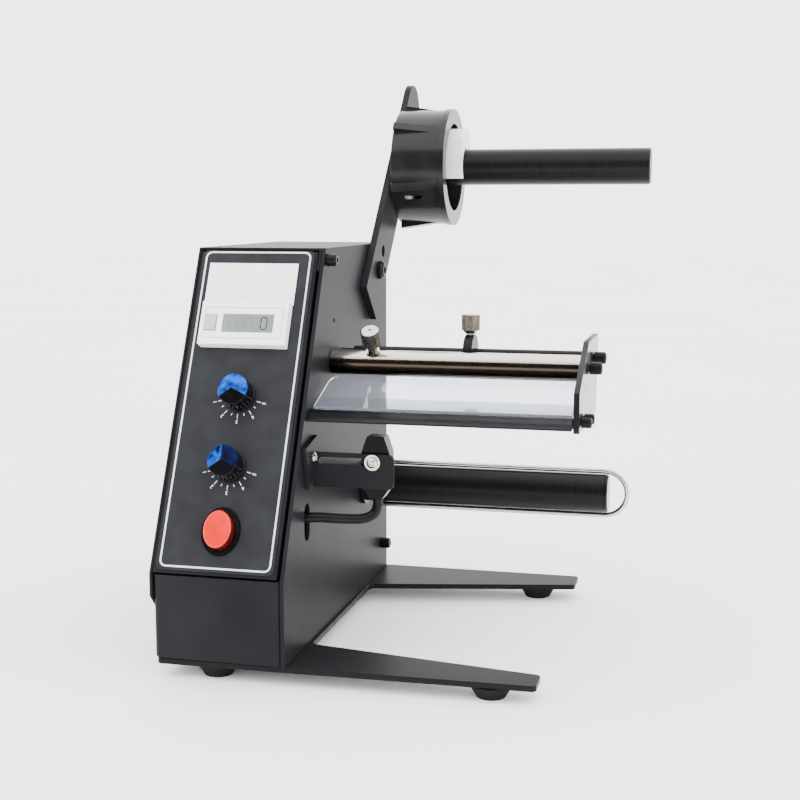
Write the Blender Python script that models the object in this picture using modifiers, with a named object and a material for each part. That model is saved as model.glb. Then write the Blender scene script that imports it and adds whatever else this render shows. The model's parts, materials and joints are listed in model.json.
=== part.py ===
"""Desktop label dispenser: a motor housing with a sloped control panel, rods for the label
roll, a peel plate, a driven take-up spindle and a light sensor, on a two-legged base plate.

Lengths are metres. Heights are above the base plate's top unless a name says otherwise, X is
from the side plate's outer face, and Y runs back from the housing's front.
"""
import math

import bmesh
import bpy
from mathutils import Matrix, Vector

# Clearances
FIT = 0.0003
OVERRUN = 0.001
MERGE = 0.00001

# Base plate and feet
BASE_THICK = 0.003
BASE_INSET = 0.0012
BASE_FRONT = 0.0005
BASE_REAR_LIP = 0.0007
FRONT_LEG_REACH = 0.1254
FRONT_LEG_TIP_NEAR = 0.0037
FRONT_LEG_TIP_WIDTH = 0.0173
REAR_LEG_REACH = 0.123
REAR_LEG_TIP_WIDTH = 0.0207
NOTCH_LEFT = 0.0015
NOTCH_FRONT = 0.0412
NOTCH_REAR = 0.160
BASE_CORNER = 0.0025
NOTCH_CORNER = 0.004
FOOT_HEIGHT = 0.007
FOOT_TOP_RADIUS = 0.0113
FOOT_BOTTOM_RADIUS = 0.0073
FOOT_TIP_INSET = 0.0235
FOOT_HOUSING_INSET = 0.030
FRONT_FOOT_Y = 0.0135
REAR_FOOT_INSET = 0.013

# Side plate and housing
WALL_THICK = 0.002
WALL_DEPTH = 0.207
WALL_HEIGHT = 0.206
NOSE_HEIGHT = 0.044
PANEL_DEPTH = 0.077
HOUSING_WIDTH = 0.070
SHEET = 0.0015
BEND_RADIUS = 0.004
RETURN_FLANGE = 0.024
COVER_SKIRT = 0.024
COVER_CORNER = 0.008
COVER_FLANGE = 0.012
SHEET_EDGE_BEVEL = 0.0004

# Control panel
PANEL_TOP_GAP = 0.002
PANEL_LOW_GAP = 0.0011
PANEL_FLANGE = 0.008
PANEL_FLANGE_STOP = 0.0135
OVERLAY_THICK = 0.0003
OVERLAY_MARGIN = 0.0015
OVERLAY_CORNER = 0.003
LABEL_WIDTH = 0.0498
LABEL_HEIGHT = 0.0238
LABEL_CENTRE_U = 0.0215
LABEL_CENTRE_X = -0.0385
COUNTER_WIDTH = 0.048
COUNTER_HEIGHT = 0.024
COUNTER_PROUD = 0.0065
COUNTER_DEPTH = 0.038
COUNTER_STEP = 0.0016
COUNTER_CENTRE_X = -0.038
COUNTER_CENTRE_U = 0.0456
SCREEN_WIDTH = 0.0276
SCREEN_HEIGHT = 0.0096
SCREEN_CENTRE_X = -0.0355
SCREEN_RECESS = 0.002
SCREEN_THICK = 0.0012
KEY_WIDTH = 0.0064
KEY_HEIGHT = 0.0086
KEY_CENTRE_X = -0.0563
KEY_RECESS = 0.0032
KEY_THICK = 0.0028
KEY_TRAVEL = 0.0008
KNOB_CENTRE_X = -0.036
KNOB_CENTRES_U = (0.084, 0.1218)
KNOB_RADIUS = 0.0088
KNOB_HEIGHT = 0.0142
KNOB_FACET = 0.0024
KNOB_LIFT = 0.0012
KNOB_CAVITY_RADIUS = 0.0046
KNOB_CAVITY_DEPTH = 0.0052
BUSH_RADIUS = 0.0035
BUSH_HEIGHT = 0.0045
SHAFT_RADIUS = 0.00285
POT_RADIUS = 0.008
POT_DEPTH = 0.009
POT_FLOOR = 0.002
SWITCH_CENTRE_X = -0.036
SWITCH_CENTRE_U = 0.1558
SWITCH_HALF_WIDTH = 0.0101
SWITCH_HALF_HEIGHT = 0.0124
SWITCH_RIM = 0.0023
SWITCH_RIM_HEIGHT = 0.0022
SWITCH_DEPTH = 0.016
SWITCH_BODY_STEP = 0.0012
SWITCH_FLOOR = 0.003
BUTTON_PROUD = 0.0078
BUTTON_TRAVEL = 0.003
BUTTON_EDGE = 0.0014

# Supply arm, rod, core ring and stop
ARM_WIDTH = 0.0307
ARM_THICK = 0.004
ARM_LENGTH = 0.1623
ARM_LOW_Y = 0.155
ARM_LOW_HEIGHT = 0.1711
ARM_ANGLE = math.radians(47.5)
ARM_CORNER = 0.001
ARM_SCREW_ALONG = 0.026
ARM_SPARE_ALONG = 0.041
ARM_SPARE_RADIUS = 0.0035
ROD_ALONG = 0.1101
ROD_RADIUS = 0.011
ROD_END = 0.160
ROD_CHAMFER = 0.0008
M6_RADIUS = 0.003
M6_HEAD_RADIUS = 0.0054
M6_HEAD_HEIGHT = 0.0033
M6_SOCKET = 0.002
M6_GRIP = 0.006
BOLT_GRIP = 0.014
CORE_START = 0.0059
CORE_END = 0.0386
CORE_RADIUS = 0.0352
CORE_RIM = 0.0008
CORE_RIM_WIDTH = 0.004
CORE_BORE_RADIUS = 0.0268
CORE_WEB = 0.004
CORE_BUSH_WALL = 0.004
CORE_BUSH_LENGTH = 0.022
RIB_COUNT = 6
RIB_HEIGHT = 0.0034
RIB_WIDTH = 0.0052
RIB_LENGTH = 0.029
RIB_PHASE = math.radians(40)
RIB_SINK = 0.002
SLOT_WIDTH = 0.0022
SLOT_LENGTH = 0.011
SLOT_START = 0.0135
SLOT_DROP = 0.0187
STOP_WIDTH = 0.012
STOP_HALF_DEPTH = 0.0138
STOP_ABOVE = 0.0234
STOP_BELOW = 0.0072
STOP_CORNER = 0.009
STOP_START = 0.034
STOP_CLEARANCE = 0.0003

# Front bar, rear rod, their thumbscrews and the collar
BAR_Y = 0.0873
BAR_RISE = 0.0205
BAR_RADIUS = 0.0067
BAR_SPIGOT_RADIUS = 0.003
THIN_ROD_Y = 0.109
THIN_ROD_RISE = 0.0237
THIN_ROD_RADIUS = 0.0035
THIN_ROD_START = 0.0068
THIN_SPIGOT_RADIUS = 0.002
SPIGOT_LENGTH = 0.0068
NUT_HEIGHT = 0.0032
NUT_ACROSS_SHARE = 1.8
BAR_BORE_DEPTH = 0.012
THUMB_X = 0.024
THUMB_TILT = math.radians(32)
THUMB_RADIUS = 0.005
THUMB_LENGTH = 0.0105
THUMB_NECK_RADIUS = 0.0026
THUMB_NECK = 0.0028
THUMB_FLANGE_RADIUS = 0.0037
THUMB_FLANGE = 0.0012
THUMB_CHAMFER = 0.0015
THUMB_SHANK_RADIUS = 0.002
THUMB_TIP = 0.0008
COLLAR_X = 0.0699
COLLAR_WIDTH = 0.005
COLLAR_RADIUS = 0.011
COLLAR_SCREW_LENGTH = 0.0099
COLLAR_SCREW_NECK = 0.0007

# Peel plate, clear sheet and end plate
BED_LENGTH = 0.1362
END_PLATE_THICK = 0.003
PEEL_TOP = 0.124
PEEL_THICK = 0.0052
PEEL_FRONT = 0.0378
PEEL_BEVEL_RUN = 0.0075
PEEL_NOSE = 0.0008
PEEL_REAR = 0.088
CLEAR_THICK = 0.0018
CLEAR_FRONT = 0.0435
CLEAR_RUN = 0.0388
CLEAR_ANGLE = math.radians(19.5)
CLEAR_LEFT = 0.0028
CLEAR_CORNER = 0.009
END_FRONT = 0.043
END_LOW_DROP = 0.0077
END_KINK_RISE = 0.013
END_TOP_RISE = 0.0346
END_TOP_FRONT = 0.0835
END_TOP_REAR = 0.133
END_LOW_REAR = 0.127
END_CORNER = 0.003
M4_RADIUS = 0.002
M4_HEAD_RADIUS = 0.0033
M4_HEAD_HEIGHT = 0.0064
M4_SOCKET = 0.0025
M3_RADIUS = 0.0015
M3_HEAD_RADIUS = 0.0027
M3_HEAD_HEIGHT = 0.0052
M3_SOCKET = 0.002
SCREW_GRIP = 0.009
PEEL_SCREWS_Y = (0.0635, 0.0505)

# Take-up spindle and its drive
SPINDLE_Y = 0.152
SPINDLE_HEIGHT = 0.0651
SPINDLE_RADIUS = 0.011
SPINDLE_BORE_RADIUS = 0.0094
SPINDLE_END = 0.1435
SPINDLE_JOURNAL_RADIUS = 0.006
JOURNAL_LENGTH = 0.014
CAP_THICK = 0.0015
CAP_PLUG = 0.008
BEARING_FLANGE_RADIUS = 0.013
BEARING_FLANGE = 0.0022
BEARING_RADIUS = 0.0095
BEARING_SLEEVE = 0.003
WIRE_RADIUS = 0.0015
WIRE_START = 0.008
WIRE_STAND = 0.0123
WIRE_FLAT = 0.0006
GEAR_MODULE = 0.001
GEAR_TEETH = 40
PINION_TEETH = 16
GEAR_WIDTH = 0.005
ROOT_SHARES = (-1.2, 0.33)
TIP_SHARES = (0.9, 0.11)
GEAR_START = 0.0065
BRACKET_FACE = 0.0165
MOTOR_RADIUS = 0.0172
MOTOR_LENGTH = 0.040
MOTOR_SHAFT_RADIUS = 0.0025
MOTOR_BOSS_RADIUS = 0.006
MOTOR_BOSS = 0.0012
MOTOR_SHEET = 0.002
MOTOR_BORE_DEPTH = 0.012
MOTOR_BRACKET_WIDTH = 0.044
MOTOR_BRACKET_FOOT = 0.018

# Sensor on its bracket
SENSOR_PLATE_Y = 0.0459
SENSOR_SHEET = 0.002
SENSOR_PLATE_END = 0.0446
SENSOR_PLATE_LOW_DROP = 0.0405
SENSOR_PLATE_TOP_DROP = 0.0224
SENSOR_PLATE_CORNER = 0.0028
SENSOR_FLANGE_LOW_FRONT = 0.036
SENSOR_FLANGE_FRONT = 0.031
SENSOR_FLANGE_FRONT_DROP = 0.0185
SENSOR_FLANGE_REAR = 0.0515
SENSOR_FLANGE_DROP = 0.0142
SENSOR_SLOT_START = 0.0045
SENSOR_SLOT_END = 0.0372
SENSOR_SLOT_DROP = 0.0266
SENSOR_SLOT_HALF = 0.0019
SENSOR_X = 0.0343
SENSOR_DEPTH = 0.010
SENSOR_DROP = 0.0135
SENSOR_SHOULDER_DROP = 0.022
SENSOR_WAIST_DROP = 0.0405
SENSOR_LOW_DROP = 0.0465
SENSOR_TOP_HALF = 0.0045
SENSOR_HALF = 0.0075
SENSOR_LOW_HALF = 0.0032
SENSOR_SCREW_SHIFT = -0.0009
WASHER_RADIUS = 0.0042
WASHER_THICK = 0.0005
PAN_RADIUS = 0.0028
PAN_HEIGHT = 0.0021
PAN_GRIP = 0.0085
PAN_SLOT_HALF = 0.00045
PAN_SLOT_DEPTH = 0.0009
BRACKET_SCREW_Y = 0.0418
BRACKET_SCREW_DROP = 0.0245
BRACKET_GRIP = 0.006

# Side plate's holes and screws
WALL_SCREWS = ((0.0786, 0.1997), (0.1926, 0.0179))
WALL_SCREW_GRIP = 0.0075
SMALL_HOLE_Y = 0.091
SMALL_HOLE_RISE = 0.0427
SMALL_HOLE_RADIUS = 0.0014
LEAD_SLOT_Y = 0.0393
LEAD_SLOT_LOW = 0.0557
LEAD_SLOT_TOP = 0.0757
LEAD_SLOT_HALF = 0.0045

# Inside: circuit board on two grooved rails, and the power inlet at the rear
BOARD_THICK = 0.0016
BOARD_FRONT = 0.014
BOARD_REAR = 0.094
BOARD_RIGHT = 0.0095
BOARD_LIFT = 0.0085
RAIL_WIDTH = 0.006
RAIL_HEIGHT = 0.014
RAIL_BITE = 0.0028
CAPACITOR_RADIUS = 0.0063
CAPACITOR_HEIGHT = 0.020
CHIP_SIDE = 0.014
PLUG_SIDE = 0.006
CHIP_HEIGHT = 0.003
INLET_X = -0.036
INLET_HEIGHT = 0.072
INLET_FLANGE_RADIUS = 0.0072
INLET_FLANGE = 0.002
INLET_RADIUS = 0.0056
INLET_DEPTH = 0.015
INLET_BORE_RADIUS = 0.0031
INLET_BORE_DEPTH = 0.0095
INLET_PIN_RADIUS = 0.001

# The lead's route from the sensor's foot into the side plate's slot and down to the board
LEAD_RADIUS = 0.0027
LEAD_STEP = 0.0055
LEAD_ROUTE = (
    (0.0343, 0.0532, 0.0772),
    (0.0343, 0.0532, 0.0735),
    (0.0325, 0.0520, 0.0690),
    (0.0270, 0.0490, 0.0668),
    (0.0162, 0.0450, 0.0672),
    (0.0070, 0.0412, 0.0682),
    (0.0000, 0.0393, 0.0680),
    (-0.0080, 0.0393, 0.0660),
    (-0.0150, 0.0400, 0.0590),
    (-0.0180, 0.0410, 0.0480),
    (-0.0190, 0.0420, 0.0360),
    (-0.0190, 0.0420, 0.0250),
    (-0.0190, 0.0420, 0.0178),
)

# Screw heads
SOCKET_SHARE = 0.8
CAP_EDGE_SHARE = 0.12
DOME_EDGE_SHARE = 0.5
CROSS_SHARE = 0.6
CROWN_SHARE = 0.9

# Facets
ROUND = 32
SMALL_ROUND = 16
CORNER_STEP = math.radians(18)

# Worked out from the sizes above
COVER_LEFT = -HOUSING_WIDTH - FIT - SHEET
INNER_FACE = -WALL_THICK
FLANGE_FACE = INNER_FACE - FIT - SHEET
PANEL_RIGHT = FLANGE_FACE - FIT
SLOPE_RISE = WALL_HEIGHT - NOSE_HEIGHT
SLOPE_LENGTH = math.hypot(PANEL_DEPTH, SLOPE_RISE)
SLOPE_ANGLE = math.atan2(SLOPE_RISE, PANEL_DEPTH)
ROD_Y = ARM_LOW_Y + ROD_ALONG * math.cos(ARM_ANGLE)
ROD_HEIGHT = ARM_LOW_HEIGHT + ROD_ALONG * math.sin(ARM_ANGLE)
ARM_FACE = FIT + ARM_THICK
ARM_END_Y = ARM_LOW_Y + ARM_LENGTH * math.cos(ARM_ANGLE) + ARM_WIDTH / 2
CAP_HALF_WIDTH = SWITCH_HALF_WIDTH - SWITCH_RIM - FIT
CAP_HALF_HEIGHT = SWITCH_HALF_HEIGHT - SWITCH_RIM - FIT
CAP_LOW_Y = PANEL_DEPTH - (SWITCH_CENTRE_U + CAP_HALF_HEIGHT) * math.cos(SLOPE_ANGLE)
BUTTON_FRONT_Y = CAP_LOW_Y - BUTTON_PROUD * math.sin(SLOPE_ANGLE)
BAR_HEIGHT = PEEL_TOP + BAR_RISE
THIN_ROD_HEIGHT = PEEL_TOP + THIN_ROD_RISE
END_LOW = PEEL_TOP - END_LOW_DROP
END_KINK = PEEL_TOP + END_KINK_RISE
END_TOP = PEEL_TOP + END_TOP_RISE
SENSOR_PLATE_LOW = PEEL_TOP - SENSOR_PLATE_LOW_DROP
SENSOR_PLATE_TOP = PEEL_TOP - SENSOR_PLATE_TOP_DROP
SENSOR_FLANGE_FRONT_TOP = PEEL_TOP - SENSOR_FLANGE_FRONT_DROP
SENSOR_FLANGE_TOP = PEEL_TOP - SENSOR_FLANGE_DROP
SENSOR_SLOT_HEIGHT = PEEL_TOP - SENSOR_SLOT_DROP
SENSOR_TOP = PEEL_TOP - SENSOR_DROP
SENSOR_SHOULDER = PEEL_TOP - SENSOR_SHOULDER_DROP
SENSOR_WAIST = PEEL_TOP - SENSOR_WAIST_DROP
SENSOR_LOW = PEEL_TOP - SENSOR_LOW_DROP
BRACKET_SCREW = (BRACKET_SCREW_Y, PEEL_TOP - BRACKET_SCREW_DROP)
SMALL_HOLE = (SMALL_HOLE_Y, PEEL_TOP + SMALL_HOLE_RISE)
WIRE_REACH = SPINDLE_END + WIRE_STAND
END_PLATE_X = BED_LENGTH + FIT
SCREW_FACE = END_PLATE_X + END_PLATE_THICK + FIT
MOTOR_HEIGHT = SPINDLE_HEIGHT + GEAR_MODULE * (GEAR_TEETH + PINION_TEETH) / 2
BASE_TOP = FOOT_HEIGHT + BASE_THICK
MIDDLE_X = (COVER_LEFT + ROD_END) / 2
MIDDLE_Y = (BUTTON_FRONT_Y + ARM_END_Y) / 2


for old in list(bpy.data.objects):
    bpy.data.objects.remove(old, do_unlink=True)

PARTS = bpy.data.collections.new("label_dispenser")
CUTTERS = bpy.data.collections.new("cutters")
bpy.context.scene.collection.children.link(PARTS)
bpy.context.scene.collection.children.link(CUTTERS)


def material(name, red, green, blue, roughness, metallic=0.0, alpha=1.0):
    """A plain Principled finish."""
    made = bpy.data.materials.new(name)
    made.use_nodes = True
    shader = made.node_tree.nodes["Principled BSDF"]
    shader.inputs["Base Color"].default_value = (red, green, blue, 1.0)
    shader.inputs["Roughness"].default_value = roughness
    shader.inputs["Metallic"].default_value = metallic
    shader.inputs["Alpha"].default_value = alpha
    return made


BLACK_COAT = material("black_powder_coat", 0.022, 0.022, 0.024, 0.38)
BLACK_ANODISED = material("black_anodised_aluminium", 0.018, 0.018, 0.020, 0.25, 0.6)
BLACK_PLASTIC = material("black_plastic", 0.012, 0.012, 0.013, 0.3)
LIGHT_PLASTIC = material("light_plastic", 0.72, 0.73, 0.73, 0.35)
BLACK_OXIDE = material("black_oxide_steel", 0.015, 0.015, 0.016, 0.4, 0.7)
BLACK_RUBBER = material("black_rubber", 0.014, 0.014, 0.015, 0.8)
FILM = material("panel_film", 0.045, 0.046, 0.048, 0.45)
WHITE_LABEL = material("white_label", 0.88, 0.88, 0.88, 0.5)
SCREEN_GREY = material("screen_glass", 0.28, 0.32, 0.27, 0.12)
KEY_GREY = material("key_plastic", 0.5, 0.5, 0.52, 0.4)
RED_CAP = material("red_cap", 0.85, 0.04, 0.03, 0.15)
WHITE_NYLON = material("white_nylon", 0.8, 0.79, 0.76, 0.4)
CHROME = material("chrome", 0.6, 0.58, 0.55, 0.12, 1.0)
NICKEL = material("nickel_plate", 0.55, 0.53, 0.5, 0.3, 1.0)
CLEAR_ACRYLIC = material("clear_acrylic", 0.85, 0.9, 0.98, 0.05, 0.0, 0.3)
BRONZE = material("sintered_bronze", 0.5, 0.33, 0.15, 0.5, 1.0)
GEAR_PLASTIC = material("gear_plastic", 0.75, 0.72, 0.62, 0.45)
MOTOR_STEEL = material("motor_steel", 0.5, 0.5, 0.5, 0.35, 1.0)
BOARD_GREEN = material("board_green", 0.02, 0.16, 0.06, 0.4)


def carrier(name, parent, location, rotation=None):
    """An empty that carries a group of pieces in its own axes."""
    made = bpy.data.objects.new(name, None)
    PARTS.objects.link(made)
    made.parent = parent
    made.location = location
    if rotation is not None:
        made.rotation_euler = rotation.to_euler()
    return made


def axes(x_axis, z_axis):
    """The rotation whose local X and Z lie along these directions."""
    z = Vector(z_axis).normalized()
    x = Vector(x_axis).normalized()
    y = z.cross(x)
    return Matrix((x, y, z)).transposed()


ROOT = carrier("frame_root", None, (-MIDDLE_X, -MIDDLE_Y, 0))
DECK = carrier("deck", ROOT, (0, 0, BASE_TOP))
# In SIDE, local X runs back, local Y up and local Z to the right along the rods
SIDE = carrier("side", DECK, (0, 0, 0), axes((0, 1, 0), (1, 0, 0)))
# In PANEL, local Y runs up the slope and local Z stands out of the face
PANEL = carrier("panel", DECK, (0, PANEL_DEPTH, WALL_HEIGHT), Matrix.Rotation(SLOPE_ANGLE, 3, "X"))
ARM = carrier("arm", SIDE, (ARM_LOW_Y, ARM_LOW_HEIGHT, 0), Matrix.Rotation(ARM_ANGLE, 3, "Z"))
# In FRONT, local X runs right, local Y up and local Z towards the front
FRONT = carrier("front", DECK, (0, 0, 0), axes((1, 0, 0), (0, -1, 0)))
REAR = carrier("rear", DECK, (0, WALL_DEPTH + FIT + SHEET, 0), axes((-1, 0, 0), (0, 1, 0)))


def place(made, parent, location, finish, name):
    """Name a finished mesh object, give it its finish and its carrier."""
    made.name = name
    made.data.name = name
    made.parent = parent
    made.location = location
    made.data.materials.clear()
    made.data.materials.append(finish)
    for owner in list(made.users_collection):
        owner.objects.unlink(made)
    PARTS.objects.link(made)
    return made


def smooth(made, angle=math.radians(35)):
    """Smooth shading with sharp edges past the angle."""
    made.data.shade_smooth()
    made.data.set_sharp_from_angle(angle=angle)
    return made


def mesh_object(name, build):
    """A mesh object filled by build(bmesh)."""
    data = bpy.data.meshes.new(name)
    shape = bmesh.new()
    build(shape)
    shape.to_mesh(data)
    shape.free()
    made = bpy.data.objects.new(name, data)
    PARTS.objects.link(made)
    return made


def block(name, parent, low, high, finish, edge=0.0):
    """A box between two corners of its carrier's axes."""
    size = [b - a for a, b in zip(low, high)]
    middle = [(a + b) / 2 for a, b in zip(low, high)]
    scale = Matrix.Diagonal((*size, 1))
    made = mesh_object(name, lambda shape: bmesh.ops.create_cube(shape, size=1, matrix=scale))
    place(made, parent, middle, finish, name)
    if edge:
        bevel(made, edge)
    return made


def bevel(made, width, segments=2, angle=math.radians(40)):
    """Rounded edges."""
    rounded_edges = made.modifiers.new("edges", "BEVEL")
    rounded_edges.width = width
    rounded_edges.segments = segments
    rounded_edges.limit_method = "ANGLE"
    rounded_edges.angle_limit = angle
    return made


def cylinder(name, parent, location, radius, length, finish, sides=ROUND):
    """A cylinder standing on its location along the carrier's Z."""
    made = mesh_object(
        name,
        lambda shape: bmesh.ops.create_cone(
            shape,
            cap_ends=True,
            segments=sides,
            radius1=radius,
            radius2=radius,
            depth=length,
            matrix=Matrix.Translation((0, 0, length / 2)),
        ),
    )
    place(made, parent, location, finish, name)
    return smooth(made)


def turned(name, parent, location, profile, finish, sides=ROUND, closed=False):
    """A turned piece about the carrier's Z; its profile runs down the outer side."""

    def build(shape):
        points = [shape.verts.new((radius, 0, height)) for radius, height in profile]
        for first, second in zip(points, points[1:]):
            shape.edges.new((first, second))
        if closed:
            shape.edges.new((points[-1], points[0]))

    made = mesh_object(name, build)
    place(made, parent, location, finish, name)
    screw = made.modifiers.new("turn", "SCREW")
    screw.axis = "Z"
    screw.steps = sides
    screw.render_steps = sides
    screw.use_merge_vertices = True
    screw.merge_threshold = MERGE
    screw.use_smooth_shade = True
    return made


def rounded(corners):
    """An outline's points, where each corner is (x, y) or (x, y, radius)."""
    points = []
    count = len(corners)
    for index, corner in enumerate(corners):
        here = Vector(corner[:2])
        radius = corner[2] if len(corner) > 2 else 0
        if not radius:
            points.append(tuple(here))
            continue
        before = (Vector(corners[index - 1][:2]) - here).normalized()
        after = (Vector(corners[(index + 1) % count][:2]) - here).normalized()
        half = before.angle(after) / 2
        centre = here + (before + after).normalized() * (radius / math.sin(half))
        first = here + before * (radius / math.tan(half)) - centre
        turn = math.pi - 2 * half
        sign = 1 if before.cross(after) < 0 else -1
        steps = max(2, round(turn / CORNER_STEP))
        for step in range(steps + 1):
            bend = Matrix.Rotation(sign * turn * step / steps, 2)
            points.append(tuple(centre + bend @ first))
    return points


def circle(x, y, radius, sides=SMALL_ROUND):
    """Points round a circle."""
    return ellipse(x, y, radius, radius, sides)


def ellipse(x, y, half_width, half_height, sides=ROUND):
    """Points round an ellipse."""
    turns = [2 * math.pi * step / sides for step in range(sides)]
    return [(x + half_width * math.cos(turn), y + half_height * math.sin(turn)) for turn in turns]


def box_outline(x, y, width, height, radius=0):
    """A rectangle about a centre, with rounded corners."""
    return rounded(
        [
            (x - width / 2, y - height / 2, radius),
            (x + width / 2, y - height / 2, radius),
            (x + width / 2, y + height / 2, radius),
            (x - width / 2, y + height / 2, radius),
        ]
    )


def slot_outline(x, y, width, height):
    """A slot with round ends about a centre."""
    return box_outline(x, y, width, height, min(width, height) / 2 - MERGE)


def plate(name, parent, outline, low, high, finish, holes=(), centre=(0, 0)):
    """A flat plate from low to high along the carrier's Z, with holes; its outline is about the centre."""
    curve = bpy.data.curves.new(name, "CURVE")
    curve.dimensions = "2D"
    curve.fill_mode = "BOTH"
    curve.extrude = (high - low) / 2
    for points in (outline, *holes):
        spline = curve.splines.new("POLY")
        spline.points.add(len(points) - 1)
        for slot, (x, y) in zip(spline.points, points):
            slot.co = (x, y, 0, 1)
        spline.use_cyclic_u = True
    flat = bpy.data.objects.new(name, curve)
    PARTS.objects.link(flat)
    return as_mesh(flat, parent, (*centre, (low + high) / 2), finish, name)


def as_mesh(curve_object, parent, location, finish, name):
    """The mesh of a curve object, with its caps welded on."""
    bpy.context.view_layer.update()
    graph = bpy.context.evaluated_depsgraph_get()
    data = bpy.data.meshes.new_from_object(curve_object.evaluated_get(graph))
    bpy.data.objects.remove(curve_object, do_unlink=True)
    shape = bmesh.new()
    shape.from_mesh(data)
    bmesh.ops.remove_doubles(shape, verts=shape.verts, dist=MERGE)
    bmesh.ops.recalc_face_normals(shape, faces=shape.faces)
    shape.to_mesh(data)
    shape.free()
    made = bpy.data.objects.new(name, data)
    PARTS.objects.link(made)
    return place(made, parent, location, finish, name)


def tool(made):
    """Turn an object into a cutter or a joining body."""
    for owner in list(made.users_collection):
        owner.objects.unlink(made)
    CUTTERS.objects.link(made)
    made.hide_render = True
    made.display_type = "WIRE"
    return made


def boolean(target, other, operation):
    """Cut other from target, or join it on."""
    tool(other)
    step = target.modifiers.new(other.name, "BOOLEAN")
    step.operation = operation
    step.solver = "EXACT"
    step.object = other
    return target


def cut(target, other):
    """Cut other out of target."""
    return boolean(target, other, "DIFFERENCE")


def join(target, other):
    """Join other to target."""
    return boolean(target, other, "UNION")


def sheet_from(name, parent, build, outward, finish):
    """Folded sheet: an open surface whose wall grows inwards from its outermost face."""
    made = mesh_object(name, build)
    shape = bmesh.new()
    shape.from_mesh(made.data)
    bmesh.ops.recalc_face_normals(shape, faces=shape.faces)
    away = Vector(outward)
    outermost = max(shape.faces, key=lambda face: face.calc_center_median().dot(away))
    if outermost.normal.dot(away) < 0:
        bmesh.ops.reverse_faces(shape, faces=shape.faces)
    shape.to_mesh(made.data)
    shape.free()
    place(made, parent, (0, 0, 0), finish, name)
    wall = made.modifiers.new("sheet", "SOLIDIFY")
    wall.thickness = SHEET
    wall.offset = -1
    wall.use_even_offset = True
    wall.use_quality_normals = True
    bevel(made, SHEET_EDGE_BEVEL, 1, math.radians(60))
    return made


def screw(name, parent, location, head, shank, grip, socket_depth, finish, dome=False):
    """A socket screw whose head sits on its location, shank down the carrier's Z."""
    head_radius, head_height = head
    edge = head_height * (DOME_EDGE_SHARE if dome else CAP_EDGE_SHARE)
    made = turned(
        name,
        parent,
        location,
        [
            (0, head_height),
            (head_radius - edge, head_height),
            (head_radius, head_height - edge),
            (head_radius, 0),
            (shank, 0),
            (shank, -grip),
            (0, -grip),
        ],
        finish,
        SMALL_ROUND,
    )
    socket = cylinder(
        name + "_socket", parent, location, shank * SOCKET_SHARE, socket_depth + OVERRUN, finish, 6
    )
    socket.location = Vector(location) + Vector((0, 0, head_height - socket_depth))
    return cut(made, socket)


def foot_places():
    """Where the four feet are, seen from above."""
    rear = WALL_DEPTH - REAR_FOOT_INSET
    left = -HOUSING_WIDTH + FOOT_HOUSING_INSET
    return (
        (FRONT_LEG_REACH - FOOT_TIP_INSET, FRONT_FOOT_Y),
        (REAR_LEG_REACH - FOOT_TIP_INSET, rear),
        (left, FRONT_FOOT_Y),
        (left, rear),
    )


def base_and_feet():
    """The flat base with two legs that reach out under the rods, and its rubber feet."""
    left = -HOUSING_WIDTH + BASE_INSET
    rear = WALL_DEPTH + BASE_REAR_LIP
    outline = rounded(
        [
            (left, BASE_FRONT, BASE_CORNER),
            (FRONT_LEG_REACH, FRONT_LEG_TIP_NEAR, BASE_CORNER),
            (FRONT_LEG_REACH, FRONT_LEG_TIP_NEAR + FRONT_LEG_TIP_WIDTH, BASE_CORNER),
            (NOTCH_LEFT, NOTCH_FRONT, NOTCH_CORNER),
            (NOTCH_LEFT, NOTCH_REAR, NOTCH_CORNER),
            (REAR_LEG_REACH, rear - REAR_LEG_TIP_WIDTH, BASE_CORNER),
            (REAR_LEG_REACH, rear, BASE_CORNER),
            (left, rear, BASE_CORNER),
        ]
    )
    plate("base_plate", DECK, outline, -BASE_THICK, 0, BLACK_COAT)
    top = -BASE_THICK - FIT
    drop = FIT - FOOT_HEIGHT
    profile = [(0, 0), (FOOT_TOP_RADIUS, 0), (FOOT_BOTTOM_RADIUS, drop), (0, drop)]
    for number, (x, y) in enumerate(foot_places(), 1):
        turned(f"rubber_foot_{number}", DECK, (x, y, top), profile, BLACK_RUBBER, 24)


def arm_point(along):
    """A point of the supply arm's middle line, in the side plate's axes."""
    return (
        ARM_LOW_Y + along * math.cos(ARM_ANGLE),
        ARM_LOW_HEIGHT + along * math.sin(ARM_ANGLE),
    )


def side_plate():
    """The right wall, cut along the panel's slope, with holes for all that it carries."""
    outline = [
        (0, FIT),
        (WALL_DEPTH, FIT),
        (WALL_DEPTH, WALL_HEIGHT),
        (PANEL_DEPTH, WALL_HEIGHT),
        (0, NOSE_HEIGHT),
    ]
    slot_middle = (LEAD_SLOT_LOW + LEAD_SLOT_TOP) / 2
    slot_height = LEAD_SLOT_TOP - LEAD_SLOT_LOW
    holes = [
        slot_outline(LEAD_SLOT_Y, slot_middle, 2 * LEAD_SLOT_HALF, slot_height),
        circle(SPINDLE_Y, SPINDLE_HEIGHT, BEARING_RADIUS + FIT, ROUND),
        circle(BAR_Y, BAR_HEIGHT, BAR_SPIGOT_RADIUS + FIT),
        circle(THIN_ROD_Y, THIN_ROD_HEIGHT, THIN_SPIGOT_RADIUS + FIT),
        circle(*SMALL_HOLE, SMALL_HOLE_RADIUS),
        circle(*arm_point(ARM_SCREW_ALONG), M6_RADIUS + FIT),
        circle(*BRACKET_SCREW, M3_RADIUS + FIT),
    ]
    holes += [circle(y, height, M4_RADIUS + FIT) for y, height in WALL_SCREWS]
    plate("side_plate", SIDE, outline, -WALL_THICK, 0, BLACK_COAT, holes)


def new_points(grown):
    """The points that an extrusion has made."""
    return [item for item in grown["geom"] if isinstance(item, bmesh.types.BMVert)]


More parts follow.
